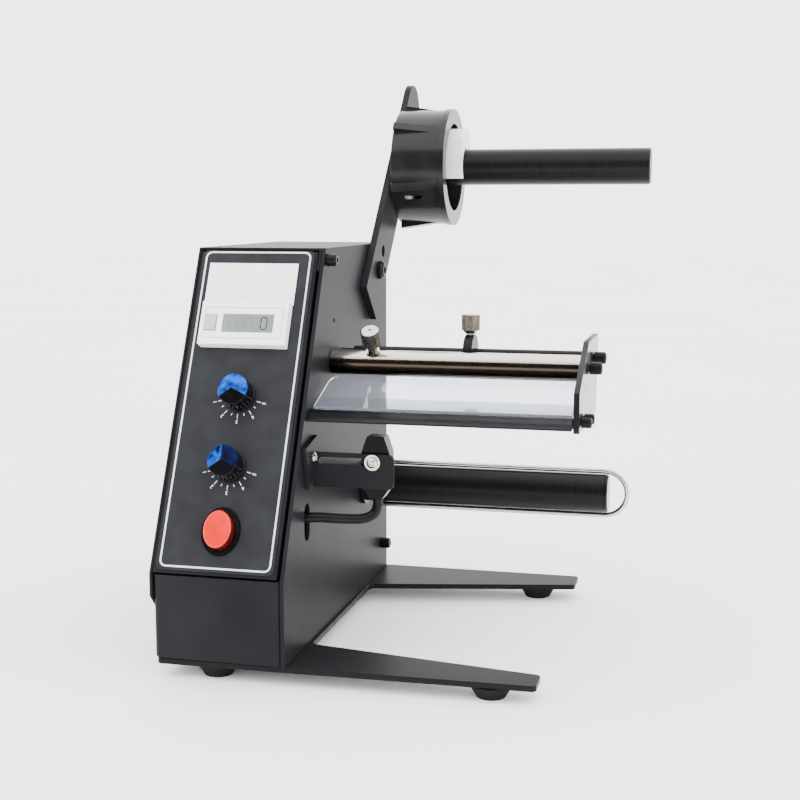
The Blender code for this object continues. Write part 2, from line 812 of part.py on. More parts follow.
def chassis_tray():
    """The low walls round the housing's front, left and rear, with returns at the side plate."""
    right = INNER_FACE - FIT

    def build(shape):
        path = rounded(
            [
                (right, RETURN_FLANGE / 2),
                (right, 0, SHEET + FIT),
                (-HOUSING_WIDTH, 0, BEND_RADIUS),
                (-HOUSING_WIDTH, WALL_DEPTH, BEND_RADIUS),
                (right, WALL_DEPTH, SHEET + FIT),
                (right, WALL_DEPTH - RETURN_FLANGE),
            ]
        )
        points = [shape.verts.new((x, y, FIT)) for x, y in path]
        edges = [shape.edges.new(pair) for pair in zip(points, points[1:])]
        raised = bmesh.ops.extrude_edge_only(shape, edges=edges)
        bmesh.ops.translate(shape, verts=new_points(raised), vec=(0, 0, NOSE_HEIGHT - 2 * FIT))

    made = sheet_from("chassis_tray", DECK, build, (1, 0, 0), BLACK_COAT)
    cut(made, wall_screw_hole("tray_screw_hole", WALL_SCREWS[1]))


def wall_screw_hole(name, place_on_wall):
    """A cutter for a wall screw's shank through the sheets behind the side plate."""
    y, height = place_on_wall
    deep = -WALL_THICK - WALL_SCREW_GRIP
    return cylinder(name, SIDE, (y, height, deep), M4_RADIUS + FIT, -deep, BLACK_COAT, SMALL_ROUND)


def cover_shell():
    """The upper cover: left side, top and rear, with a flange along the side plate."""
    right = INNER_FACE - FIT
    rear = WALL_DEPTH + FIT + SHEET

    def build(shape):
        side = [
            (FIT, COVER_SKIRT + COVER_CORNER),
            (COVER_CORNER, COVER_SKIRT),
            (rear, COVER_SKIRT),
            (rear, WALL_HEIGHT),
            (PANEL_DEPTH, WALL_HEIGHT),
            (FIT, NOSE_HEIGHT),
        ]
        points = [shape.verts.new((COVER_LEFT, y, height)) for y, height in side]
        shape.faces.new(points)
        folded = [shape.edges.get(points[2:4]), shape.edges.get(points[3:5])]
        across = new_points(bmesh.ops.extrude_edge_only(shape, edges=folded))
        bmesh.ops.translate(shape, verts=across, vec=(right - COVER_LEFT, 0, 0))
        tops = [point for point in across if abs(point.co.z - WALL_HEIGHT) < MERGE]
        low = new_points(bmesh.ops.extrude_edge_only(shape, edges=[shape.edges.get(tops)]))
        bmesh.ops.translate(shape, verts=low, vec=(0, 0, -COVER_FLANGE))
        low.sort(key=lambda point: point.co.y)
        low[0].co.y -= COVER_FLANGE * PANEL_DEPTH / SLOPE_RISE
        low[1].co.y -= COVER_FLANGE

    made = sheet_from("cover_shell", DECK, build, (-1, 0, 0), BLACK_COAT)
    cut(made, wall_screw_hole("cover_screw_hole", WALL_SCREWS[0]))
    low = -SHEET - OVERRUN
    deep = SHEET + 2 * OVERRUN
    place_on_rear = (-INLET_X, INLET_HEIGHT, low)
    cut(made, cylinder("inlet_hole", REAR, place_on_rear, INLET_RADIUS + FIT, deep, BLACK_COAT, 24))


def control_panel():
    """The sloped front sheet with folds at both sides and its cut-outs."""
    left = -HOUSING_WIDTH
    top = -PANEL_TOP_GAP
    low = -SLOPE_LENGTH + PANEL_LOW_GAP

    def build(shape):
        corners = ((left, top), (left, low), (PANEL_RIGHT, low), (PANEL_RIGHT, top))
        points = [shape.verts.new((x, y, 0)) for x, y in corners]
        shape.faces.new(points)
        for pair in (points[0:2], points[2:4]):
            fold = bmesh.ops.extrude_edge_only(shape, edges=[shape.edges.get(pair)])
            bmesh.ops.translate(shape, verts=new_points(fold), vec=(0, 0, -PANEL_FLANGE))

    made = sheet_from("control_panel", PANEL, build, (0, 0, 1), BLACK_COAT)
    low_corner = (left - OVERRUN, low - OVERRUN, -PANEL_FLANGE - OVERRUN)
    high_corner = (left + SHEET + OVERRUN, low + PANEL_FLANGE_STOP, -SHEET - FIT)
    cut(made, block("panel_fold_end", PANEL, low_corner, high_corner, BLACK_COAT))
    bottom = -SHEET - OVERRUN
    deep = SHEET + 2 * OVERRUN
    for number, along in enumerate(KNOB_CENTRES_U, 1):
        centre = (KNOB_CENTRE_X, -along, bottom)
        cut(made, cylinder(f"bush_hole_{number}", PANEL, centre, BUSH_RADIUS + FIT, deep, BLACK_COAT, 24))
    less = 2 * (COUNTER_STEP - FIT)
    window = box_outline(COUNTER_CENTRE_X, -COUNTER_CENTRE_U, COUNTER_WIDTH - less, COUNTER_HEIGHT - less)
    cut(made, plate("counter_cutout", PANEL, window, bottom, OVERRUN, BLACK_COAT))
    step = SWITCH_BODY_STEP - FIT
    oval = ellipse(SWITCH_CENTRE_X, -SWITCH_CENTRE_U, SWITCH_HALF_WIDTH - step, SWITCH_HALF_HEIGHT - step)
    cut(made, plate("switch_cutout", PANEL, oval, bottom, OVERRUN, BLACK_COAT))
    cut(made, wall_screw_hole("panel_screw_hole", WALL_SCREWS[0]))


def panel_overlay():
    """The film on the panel and the bare white label at its top."""
    left = -HOUSING_WIDTH + OVERLAY_MARGIN
    right = PANEL_RIGHT - OVERLAY_MARGIN
    top = -PANEL_TOP_GAP
    low = -SLOPE_LENGTH + PANEL_LOW_GAP + OVERLAY_MARGIN
    outline = box_outline((left + right) / 2, (top + low) / 2, right - left, top - low, OVERLAY_CORNER)
    holes = [circle(KNOB_CENTRE_X, -along, BUSH_RADIUS + FIT, 24) for along in KNOB_CENTRES_U]
    width = COUNTER_WIDTH + 2 * FIT
    height = COUNTER_HEIGHT + 2 * FIT
    holes.append(box_outline(COUNTER_CENTRE_X, -COUNTER_CENTRE_U, width, height))
    oval = (SWITCH_HALF_WIDTH + FIT, SWITCH_HALF_HEIGHT + FIT)
    holes.append(ellipse(SWITCH_CENTRE_X, -SWITCH_CENTRE_U, *oval))
    face = FIT + OVERLAY_THICK
    plate("panel_overlay", PANEL, outline, FIT, face, FILM, holes)
    label = box_outline(LABEL_CENTRE_X, -LABEL_CENTRE_U, LABEL_WIDTH, LABEL_HEIGHT)
    plate("info_label", PANEL, label, face + FIT, face + FIT + OVERLAY_THICK, WHITE_LABEL)


def counter_box(name, x, width, height, low, high, finish):
    """A box in line with the counter's middle."""
    y = -COUNTER_CENTRE_U
    low_corner = (x - width / 2, y - height / 2, low)
    high_corner = (x + width / 2, y + height / 2, high)
    return block(name, PANEL, low_corner, high_corner, finish)


def counter():
    """The small panel counter: case, screen and reset key."""
    x = COUNTER_CENTRE_X
    face = COUNTER_PROUD
    wide, high = COUNTER_WIDTH, COUNTER_HEIGHT
    less = 2 * COUNTER_STEP
    case = counter_box("counter_case", x, wide, high, FIT, face, LIGHT_PLASTIC)
    body = (wide - less, high - less, -COUNTER_DEPTH, FIT + OVERRUN)
    join(case, counter_box("counter_body", x, *body, LIGHT_PLASTIC))
    over = face + OVERRUN
    window = (SCREEN_WIDTH + 2 * FIT, SCREEN_HEIGHT + 2 * FIT, face - SCREEN_RECESS, over)
    cut(case, counter_box("screen_recess", SCREEN_CENTRE_X, *window, LIGHT_PLASTIC))
    well = (KEY_WIDTH + 2 * FIT, KEY_HEIGHT + 2 * FIT, face - KEY_RECESS, over)
    cut(case, counter_box("key_recess", KEY_CENTRE_X, *well, LIGHT_PLASTIC))
    floor = face - SCREEN_RECESS + FIT
    glass = (SCREEN_WIDTH, SCREEN_HEIGHT, floor, floor + SCREEN_THICK)
    counter_box("counter_screen", SCREEN_CENTRE_X, *glass, SCREEN_GREY)
    rest = face - KEY_RECESS + FIT + KEY_TRAVEL
    key = (KEY_WIDTH, KEY_HEIGHT, rest, rest + KEY_THICK)
    counter_box("counter_reset_key", KEY_CENTRE_X, *key, KEY_GREY)


def dials():
    """Two potentiometers behind the panel and the knobs on their shafts."""
    under = -SHEET - FIT
    back = under - POT_DEPTH
    floor = back + POT_FLOOR
    bore = SHAFT_RADIUS + FIT
    potentiometer = [
        (0, floor),
        (bore, floor),
        (bore, BUSH_HEIGHT),
        (BUSH_RADIUS, BUSH_HEIGHT),
        (BUSH_RADIUS, under),
        (POT_RADIUS, under),
        (POT_RADIUS, back),
        (0, back),
    ]
    top = KNOB_LIFT + KNOB_HEIGHT
    cavity = KNOB_LIFT + KNOB_CAVITY_DEPTH
    knob = [
        (0, top),
        (KNOB_RADIUS - KNOB_FACET, top),
        (KNOB_RADIUS, top - KNOB_FACET),
        (KNOB_RADIUS, KNOB_LIFT),
        (KNOB_CAVITY_RADIUS, KNOB_LIFT),
        (KNOB_CAVITY_RADIUS, cavity),
        (SHAFT_RADIUS, cavity),
        (SHAFT_RADIUS, floor + FIT),
        (0, floor + FIT),
    ]
    for number, along in enumerate(KNOB_CENTRES_U, 1):
        centre = (KNOB_CENTRE_X, -along, 0)
        turned(f"potentiometer_{number}", PANEL, centre, potentiometer, MOTOR_STEEL, 24)
        turned(f"knob_{number}", PANEL, centre, knob, BLACK_PLASTIC, 24)


def power_switch():
    """The oval switch and its red button."""
    middle = (SWITCH_CENTRE_X, -SWITCH_CENTRE_U)
    wide, high = SWITCH_HALF_WIDTH, SWITCH_HALF_HEIGHT
    step = SWITCH_BODY_STEP
    floor = SWITCH_FLOOR - SWITCH_DEPTH
    rim = plate("switch_body", PANEL, ellipse(*middle, wide, high), FIT, SWITCH_RIM_HEIGHT, BLACK_PLASTIC)
    barrel = ellipse(*middle, wide - step, high - step)
    join(rim, plate("switch_barrel", PANEL, barrel, -SWITCH_DEPTH, FIT + OVERRUN, BLACK_PLASTIC))
    well = ellipse(*middle, wide - SWITCH_RIM, high - SWITCH_RIM)
    cut(rim, plate("switch_well", PANEL, well, floor, SWITCH_RIM_HEIGHT + OVERRUN, BLACK_PLASTIC))
    cap = ellipse(0, 0, CAP_HALF_WIDTH, CAP_HALF_HEIGHT)
    rest = floor + FIT + BUTTON_TRAVEL
    button = plate("power_button", PANEL, cap, rest, BUTTON_PROUD, RED_CAP, (), middle)
    bevel(button, BUTTON_EDGE, 2, math.radians(60))


def supply_arm():
    """The slanted bar on the side plate with its screws and the roll's rod."""
    half = ARM_WIDTH / 2
    end = half - MERGE
    outline = rounded(
        [
            (0, -half, ARM_CORNER),
            (ARM_LENGTH + half, -half, end),
            (ARM_LENGTH + half, half, end),
            (0, half, ARM_CORNER),
        ]
    )
    holes = [
        circle(ARM_SCREW_ALONG, 0, M6_RADIUS + FIT),
        circle(ARM_SPARE_ALONG, 0, ARM_SPARE_RADIUS),
        circle(ROD_ALONG, 0, M6_RADIUS + FIT),
    ]
    plate("supply_arm", ARM, outline, FIT, ARM_FACE, BLACK_COAT, holes)
    head = (M6_HEAD_RADIUS, M6_HEAD_HEIGHT)
    start = ARM_FACE + FIT
    grip = start + WALL_THICK + M6_GRIP
    screw("arm_screw", ARM, (ARM_SCREW_ALONG, 0, start), head, M6_RADIUS, grip, M6_SOCKET, BLACK_OXIDE, True)
    behind = carrier("behind_arm", SIDE, (ROD_Y, ROD_HEIGHT, 0), axes((1, 0, 0), (0, 0, -1)))
    screw("rod_bolt", behind, (0, 0, 0), head, M6_RADIUS, BOLT_GRIP, M6_SOCKET, BLACK_OXIDE, True)
    length = ROD_END - start
    bore = M6_RADIUS + FIT
    depth = BOLT_GRIP + OVERRUN - start
    rod = [
        (0, length),
        (ROD_RADIUS - ROD_CHAMFER, length),
        (ROD_RADIUS, length - ROD_CHAMFER),
        (ROD_RADIUS, 0),
        (bore, 0),
        (bore, depth),
        (0, depth),
    ]
    turned("supply_rod", SIDE, (ROD_Y, ROD_HEIGHT, start), rod, BLACK_ANODISED)


def core_rib(name):
    """A wedge rib that stands up at the arm's end and sinks into the ring towards its rim."""

    def build(shape):
        low = CORE_RADIUS - RIB_SINK
        half = RIB_WIDTH / 2
        tip = CORE_RADIUS - RIB_SINK / 2
        side = [(low, FIT), (CORE_RADIUS + RIB_HEIGHT, FIT), (tip, RIB_LENGTH), (low, RIB_LENGTH)]
        points = [shape.verts.new((radius, -half, along)) for radius, along in side]
        face = shape.faces.new(points)
        across = new_points(bmesh.ops.extrude_face_region(shape, geom=[face]))
        bmesh.ops.translate(shape, verts=across, vec=(0, RIB_WIDTH, 0))
        bmesh.ops.recalc_face_normals(shape, faces=shape.faces)

    return place(mesh_object(name, build), SIDE, (ROD_Y, ROD_HEIGHT, CORE_START), BLACK_PLASTIC, name)


def core_ring():
    """The ribbed adapter that fits a roll's core, and the bush in its web that turns on the rod."""
    bush = ROD_RADIUS + FIT
    outer = bush + CORE_BUSH_WALL
    length = CORE_END - CORE_START
    rim = CORE_RADIUS + CORE_RIM
    profile = [
        (rim, length),
        (rim, length - CORE_RIM_WIDTH),
        (CORE_RADIUS, length - CORE_RIM_WIDTH),
        (CORE_RADIUS, 0),
        (outer + FIT, 0),
        (outer + FIT, CORE_WEB),
        (CORE_BORE_RADIUS, CORE_WEB),
        (CORE_BORE_RADIUS, length),
    ]
    centre = (ROD_Y, ROD_HEIGHT, CORE_START)
    sleeve = [(outer, CORE_BUSH_LENGTH), (outer, 0), (bush, 0), (bush, CORE_BUSH_LENGTH)]
    turned("core_bush", SIDE, centre, sleeve, BLACK_PLASTIC, closed=True)
    ring = turned("core_ring", SIDE, centre, profile, BLACK_PLASTIC, 48, closed=True)
    for number in range(RIB_COUNT):
        rib = core_rib(f"core_rib_{number}")
        rib.rotation_euler = (0, 0, math.pi - RIB_PHASE + number * 2 * math.pi / RIB_COUNT)
        join(ring, rib)
    reach = CORE_RADIUS + RIB_HEIGHT
    middle = ROD_HEIGHT - SLOT_DROP
    low = (ROD_Y - reach, middle - SLOT_WIDTH / 2, SLOT_START)
    high = (ROD_Y + reach, middle + SLOT_WIDTH / 2, SLOT_START + SLOT_LENGTH)
    cut(ring, block("core_slots", SIDE, low, high, BLACK_PLASTIC))


def roll_stop():
    """The white block that clips over the rod and keeps the roll on it."""
    half = STOP_HALF_DEPTH
    outline = rounded(
        [
            (-half, -STOP_BELOW),
            (half, -STOP_BELOW),
            (half, STOP_ABOVE, STOP_CORNER),
            (-half, STOP_ABOVE, STOP_CORNER),
        ]
    )
    end = STOP_START + STOP_WIDTH
    stop = plate("roll_stop", SIDE, outline, STOP_START, end, WHITE_NYLON, (), (ROD_Y, ROD_HEIGHT))
    start = (ROD_Y, ROD_HEIGHT, STOP_START - OVERRUN)
    length = STOP_WIDTH + 2 * OVERRUN
    cut(stop, cylinder("stop_bore", SIDE, start, ROD_RADIUS + STOP_CLEARANCE, length, WHITE_NYLON))


def spigot_rod(name, y, height, radius, spigot, finish, start=FIT):
    """A bar to the end plate: spigot into the side plate on the left, threaded bore on the right."""
    shoulder = start - FIT
    length = BED_LENGTH - FIT
    tip = -WALL_THICK - SPIGOT_LENGTH - FIT
    bore = M4_RADIUS + FIT
    profile = [
        (0, length - BAR_BORE_DEPTH),
        (bore, length - BAR_BORE_DEPTH),
        (bore, length),
        (radius - ROD_CHAMFER, length),
        (radius, length - ROD_CHAMFER),
        (radius, shoulder),
        (spigot, shoulder),
        (spigot, tip),
        (0, tip),
    ]
    return turned(name, SIDE, (y, height, FIT), profile, finish)


def spigot_nut(name, y, height, spigot):
    """The hexagon nut on a bar's spigot, behind the side plate."""
    turns = [2 * math.pi * step / 6 for step in range(6)]
    across = spigot * NUT_ACROSS_SHARE
    outline = [(y + across * math.cos(turn), height + across * math.sin(turn)) for turn in turns]
    top = INNER_FACE - FIT
    hole = circle(y, height, spigot + FIT)
    plate(name, SIDE, outline, top - NUT_HEIGHT, top, NICKEL, [hole])


def thumbscrew(name, parent, surface, tip, shank, length, neck_length, flange):
    """A knurled thumbscrew on its carrier's Z, seated on the surface, with a flange or none."""
    seat = surface + FIT
    neck = seat + flange
    head = neck + neck_length
    top = head + length
    edge = THUMB_FLANGE / 2
    foot = [(THUMB_FLANGE_RADIUS, neck), (THUMB_FLANGE_RADIUS, seat)] if flange else []
    under = neck if flange else seat
    profile = [
        (0, top),
        (THUMB_RADIUS - edge, top),
        (THUMB_RADIUS, top - edge),
        (THUMB_RADIUS, head + THUMB_CHAMFER),
        (THUMB_RADIUS - THUMB_CHAMFER, head),
        (THUMB_NECK_RADIUS, head),
        (THUMB_NECK_RADIUS, under),
        *foot,
        (shank, seat),
        (shank, tip),
        (0, tip),
    ]
    turned(name, parent, (0, 0, 0), profile, NICKEL)


def front_bar():
    """The chrome bar in front with its slanted thumbscrew."""
    bar = spigot_rod("guide_bar", BAR_Y, BAR_HEIGHT, BAR_RADIUS, BAR_SPIGOT_RADIUS, CHROME)
    spigot_nut("bar_nut", BAR_Y, BAR_HEIGHT, BAR_SPIGOT_RADIUS)
    axis = carrier("bar_screw_axis", DECK, (THUMB_X, BAR_Y, BAR_HEIGHT), Matrix.Rotation(THUMB_TILT, 3, "X"))
    reach = BAR_RADIUS + OVERRUN
    bore = THUMB_SHANK_RADIUS + FIT
    cut(bar, cylinder("bar_cross_hole", axis, (0, 0, -reach), bore, 2 * reach, CHROME, SMALL_ROUND))
    head = (THUMB_SHANK_RADIUS, THUMB_LENGTH, THUMB_NECK, THUMB_FLANGE)
    thumbscrew("bar_thumbscrew", axis, BAR_RADIUS, -BAR_RADIUS - THUMB_TIP, *head)


def rear_rod():
    """The thin rod with its collar for the web's edge and the collar's thumbscrew."""
    radii = (THIN_ROD_RADIUS, THIN_SPIGOT_RADIUS)
    spigot_rod("guide_rod", THIN_ROD_Y, THIN_ROD_HEIGHT, *radii, BLACK_ANODISED, THIN_ROD_START)
    spigot_nut("rod_nut", THIN_ROD_Y, THIN_ROD_HEIGHT, THIN_SPIGOT_RADIUS)
    bore = THIN_ROD_RADIUS + FIT
    ring = [
        (COLLAR_RADIUS, COLLAR_WIDTH),
        (COLLAR_RADIUS, 0),
        (bore, 0),
        (bore, COLLAR_WIDTH),
    ]
    place = (THIN_ROD_Y, THIN_ROD_HEIGHT, COLLAR_X)
    collar = turned("guide_collar", SIDE, place, ring, BLACK_ANODISED, closed=True)
    axis = carrier("collar_screw_axis", DECK, (COLLAR_X + COLLAR_WIDTH / 2, THIN_ROD_Y, THIN_ROD_HEIGHT))
    length = COLLAR_RADIUS + OVERRUN
    shank = M3_RADIUS
    cut(collar, cylinder("collar_hole", axis, (0, 0, 0), shank + FIT, length, BLACK_ANODISED, SMALL_ROUND))
    head = (shank, COLLAR_SCREW_LENGTH, COLLAR_SCREW_NECK, 0)
    thumbscrew("collar_thumbscrew", axis, COLLAR_RADIUS, bore, *head)


def peel_plate():
    """The flat plate whose thin front edge the backing turns over, and the clear sheet above it."""
    low = PEEL_TOP - PEEL_THICK
    outline = [
        (PEEL_FRONT, low),
        (PEEL_FRONT, low + PEEL_NOSE),
        (PEEL_FRONT + PEEL_BEVEL_RUN, PEEL_TOP),
        (PEEL_REAR, PEEL_TOP),
        (PEEL_REAR, low),
    ]
    bed = plate("peel_plate", SIDE, outline, FIT, BED_LENGTH, BLACK_ANODISED)
    for number, y in enumerate(PEEL_SCREWS_Y, 1):
        start = (y, (low + PEEL_TOP) / 2, BED_LENGTH - BAR_BORE_DEPTH)
        bore = M3_RADIUS + FIT
        length = BAR_BORE_DEPTH + OVERRUN
        cut(bed, cylinder(f"peel_bore_{number}", SIDE, start, bore, length, BLACK_ANODISED, SMALL_ROUND))
    tilt = Matrix.Rotation(CLEAR_ANGLE, 3, "X")
    slope = carrier("clear_slope", DECK, (0, CLEAR_FRONT, PEEL_TOP + FIT), tilt)
    right = BED_LENGTH - FIT
    sheet = rounded([(CLEAR_LEFT, 0), (right, 0), (right, CLEAR_RUN), (CLEAR_LEFT, CLEAR_RUN, CLEAR_CORNER)])
    plate("clear_cover", slope, sheet, 0, CLEAR_THICK, CLEAR_ACRYLIC)


def end_plate():
    """The plate that ties the bars' right ends, with its four cap screws."""
    outline = rounded(
        [
            (END_FRONT, END_LOW, END_CORNER),
            (END_FRONT, END_KINK),
            (END_TOP_FRONT, END_TOP),
            (END_TOP_REAR, END_TOP),
            (END_LOW_REAR, END_LOW),
        ]
    )
    middle = PEEL_TOP - PEEL_THICK / 2
    large = (M4_RADIUS, (M4_HEAD_RADIUS, M4_HEAD_HEIGHT), M4_SOCKET)
    small = (M3_RADIUS, (M3_HEAD_RADIUS, M3_HEAD_HEIGHT), M3_SOCKET)
    screws = (
        (THIN_ROD_Y, THIN_ROD_HEIGHT, *large),
        (BAR_Y, BAR_HEIGHT, *large),
        (PEEL_SCREWS_Y[0], middle, *small),
        (PEEL_SCREWS_Y[1], middle, *small),
    )
    holes = [circle(y, height, shank + FIT) for y, height, shank, head, socket in screws]
    far = END_PLATE_X + END_PLATE_THICK
    plate("end_plate", SIDE, outline, END_PLATE_X, far, BLACK_ANODISED, holes)
    for number, (y, height, shank, head, socket) in enumerate(screws, 1):
        seat = (y, height, SCREW_FACE)
        screw(f"end_screw_{number}", SIDE, seat, head, shank, SCREW_GRIP, socket, BLACK_OXIDE)


def takeup_spindle():
    """The driven tube that winds the empty backing, its end cap and its bush."""
    start = BEARING_FLANGE + 2 * FIT
    length = SPINDLE_END - start
    tip = -WALL_THICK - JOURNAL_LENGTH - start
    floor = SPINDLE_RADIUS - SPINDLE_BORE_RADIUS
    tube = [
        (0, floor),
        (SPINDLE_BORE_RADIUS, floor),
        (SPINDLE_BORE_RADIUS, length),
        (SPINDLE_RADIUS, length),
        (SPINDLE_RADIUS, 0),
        (SPINDLE_JOURNAL_RADIUS, 0),
        (SPINDLE_JOURNAL_RADIUS, tip),
        (0, tip),
    ]
    turned("takeup_spindle", SIDE, (SPINDLE_Y, SPINDLE_HEIGHT, start), tube, BLACK_ANODISED)
    plug = SPINDLE_BORE_RADIUS - FIT
    cap = [
        (0, CAP_THICK),
        (SPINDLE_RADIUS - CAP_THICK / 2, CAP_THICK),
        (SPINDLE_RADIUS, CAP_THICK / 2),
        (SPINDLE_RADIUS, 0),
        (plug, 0),
        (plug, -CAP_PLUG),
        (0, -CAP_PLUG),
    ]
    turned("spindle_end_cap", SIDE, (SPINDLE_Y, SPINDLE_HEIGHT, SPINDLE_END + FIT), cap, BLACK_PLASTIC)
    bore = SPINDLE_JOURNAL_RADIUS + FIT
    sleeve = -WALL_THICK - BEARING_SLEEVE
    bush = [
        (BEARING_FLANGE_RADIUS, BEARING_FLANGE),
        (BEARING_FLANGE_RADIUS, 0),
        (BEARING_RADIUS, 0),
        (BEARING_RADIUS, sleeve),
        (bore, sleeve),
        (bore, BEARING_FLANGE),
    ]
    turned("spindle_bearing", SIDE, (SPINDLE_Y, SPINDLE_HEIGHT, FIT), bush, BRONZE, closed=True)


def wire(name, parent, location, points, radius, finish):
    """A round wire through points, with its ends closed."""
    curve = bpy.data.curves.new(name, "CURVE")
    curve.dimensions = "3D"
    curve.bevel_depth = radius
    curve.bevel_resolution = 2
    curve.use_fill_caps = True
    spline = curve.splines.new("POLY")
    spline.points.add(len(points) - 1)
    for slot, point in zip(spline.points, points):
        slot.co = (*point, 1)
    made = bpy.data.objects.new(name, curve)
    PARTS.objects.link(made)
    return smooth(as_mesh(made, parent, location, finish, name))


def wire_clip():
    """The wire hairpin whose legs hold the backing's end on the tube."""
    lift = SPINDLE_RADIUS + FIT + WIRE_RADIUS
    bend = lift - WIRE_FLAT / 2
    path = rounded(
        [
            (WIRE_START, lift),
            (WIRE_REACH, lift, bend),
            (WIRE_REACH, -lift, bend),
            (WIRE_START, -lift),
        ]
    )
    points = [(0, height, along) for along, height in path]
    wire("wire_clip", SIDE, (SPINDLE_Y, SPINDLE_HEIGHT, 0), points, WIRE_RADIUS, NICKEL)


def gear_outline(teeth, phase):
    """A spur gear's outline with straight-flanked teeth."""
    pitch = GEAR_MODULE * teeth / 2
    step = 2 * math.pi / teeth
    points = []
    for tooth in range(teeth):
        middle = (tooth + phase) * step
        for shares, side in ((ROOT_SHARES, -1), (TIP_SHARES, -1), (TIP_SHARES, 1), (ROOT_SHARES, 1)):
            radius = pitch + shares[0] * GEAR_MODULE
            turn = middle + side * shares[1] * step
            points.append((radius * math.cos(turn), radius * math.sin(turn)))
    return points


def drive():
    """Spindle gear, pinion with its shaft, motor and motor bracket."""
    far = -GEAR_START
    near = far - GEAR_WIDTH
    hub = circle(0, 0, SPINDLE_JOURNAL_RADIUS + FIT, ROUND)
    wheel = gear_outline(GEAR_TEETH, 1 / 2)
    plate("drive_gear", SIDE, wheel, near, far, GEAR_PLASTIC, [hub], (SPINDLE_Y, SPINDLE_HEIGHT))
    small = gear_outline(PINION_TEETH, 0)
    pinion = plate("motor_pinion", SIDE, small, near, far, GEAR_PLASTIC, (), (SPINDLE_Y, MOTOR_HEIGHT))
    front = -BRACKET_FACE - MOTOR_SHEET - FIT
    tip = front - MOTOR_BORE_DEPTH + FIT
    shaft = (SPINDLE_Y, MOTOR_HEIGHT, tip)
    reach = near + OVERRUN - tip
    join(pinion, cylinder("motor_shaft", SIDE, shaft, MOTOR_SHAFT_RADIUS, reach, MOTOR_STEEL, SMALL_ROUND))
    bore = MOTOR_SHAFT_RADIUS + FIT
    motor = [
        (0, -MOTOR_BORE_DEPTH),
        (bore, -MOTOR_BORE_DEPTH),
        (bore, MOTOR_BOSS),
        (MOTOR_BOSS_RADIUS, MOTOR_BOSS),
        (MOTOR_BOSS_RADIUS, 0),
        (MOTOR_RADIUS, 0),
        (MOTOR_RADIUS, -MOTOR_LENGTH),
        (0, -MOTOR_LENGTH),
    ]
    turned("gear_motor", SIDE, (SPINDLE_Y, MOTOR_HEIGHT, front), motor, MOTOR_STEEL)
    half = MOTOR_BRACKET_WIDTH / 2
    top = MOTOR_HEIGHT + MOTOR_RADIUS
    outline = box_outline(SPINDLE_Y, (FIT + top) / 2, 2 * half, top - FIT)
    hole = circle(SPINDLE_Y, MOTOR_HEIGHT, MOTOR_BOSS_RADIUS + FIT, ROUND)
    face = -BRACKET_FACE
    bracket = plate("motor_bracket", SIDE, outline, face - MOTOR_SHEET, face, MOTOR_STEEL, [hole])
    low = (face - MOTOR_BRACKET_FOOT, SPINDLE_Y - half, FIT)
    high = (face - MOTOR_SHEET / 2, SPINDLE_Y + half, FIT + MOTOR_SHEET)
    join(bracket, block("motor_foot", DECK, low, high, MOTOR_STEEL))


def sensor_bracket():
    """The slotted plate that carries the sensor and its flange on the side plate."""
    low, top = SENSOR_PLATE_LOW, SENSOR_PLATE_TOP
    end, corner = SENSOR_PLATE_END, SENSOR_PLATE_CORNER
    front = -SENSOR_PLATE_Y
    face = rounded([(FIT, low), (end, low, corner), (end, top, corner), (FIT, top)])
    middle = (SENSOR_SLOT_START + SENSOR_SLOT_END) / 2
    length = SENSOR_SLOT_END - SENSOR_SLOT_START
    slot = slot_outline(middle, SENSOR_SLOT_HEIGHT, length, 2 * SENSOR_SLOT_HALF)
    bracket = plate("sensor_bracket", FRONT, face, front - SENSOR_SHEET, front, BLACK_COAT, [slot])
    flange = [
        (SENSOR_FLANGE_LOW_FRONT, low + FIT),
        (SENSOR_FLANGE_REAR, low + FIT),
        (SENSOR_FLANGE_REAR, SENSOR_FLANGE_TOP),
        (SENSOR_FLANGE_FRONT, SENSOR_FLANGE_FRONT_TOP),
    ]
    hole = circle(*BRACKET_SCREW, M3_RADIUS + FIT)
    join(bracket, plate("sensor_flange", SIDE, flange, FIT, FIT + SENSOR_SHEET, BLACK_COAT, [hole]))
    seat = 2 * FIT + SENSOR_SHEET
    pan_screw("bracket_screw", SIDE, (*BRACKET_SCREW, seat), 0, seat + BRACKET_GRIP)


def pan_screw(name, parent, location, washer, grip):
    """A cross-head pan screw, with a washer under it where washer isn't 0."""
    top = washer + PAN_HEIGHT
    shoulder = washer + PAN_HEIGHT / 2
    profile = [
        (0, top),
        (PAN_RADIUS * CROSS_SHARE, washer + PAN_HEIGHT * CROWN_SHARE),
        (PAN_RADIUS, shoulder),
    ]
    if washer:
        profile += [(PAN_RADIUS, washer), (WASHER_RADIUS, washer), (WASHER_RADIUS, 0)]
    else:
        profile.append((PAN_RADIUS, 0))
    profile += [(M3_RADIUS, 0), (M3_RADIUS, -grip), (0, -grip)]
    made = turned(name, parent, location, profile, NICKEL, 24)
    x, y, z = location
    reach = PAN_RADIUS * CROSS_SHARE
    for way, half_x, half_y in (("across", reach, PAN_SLOT_HALF), ("along", PAN_SLOT_HALF, reach)):
        low = (x - half_x, y - half_y, z + top - PAN_SLOT_DEPTH)
        high = (x + half_x, y + half_y, z + top + OVERRUN)
        cut(made, block(name + "_" + way, parent, low, high, NICKEL))


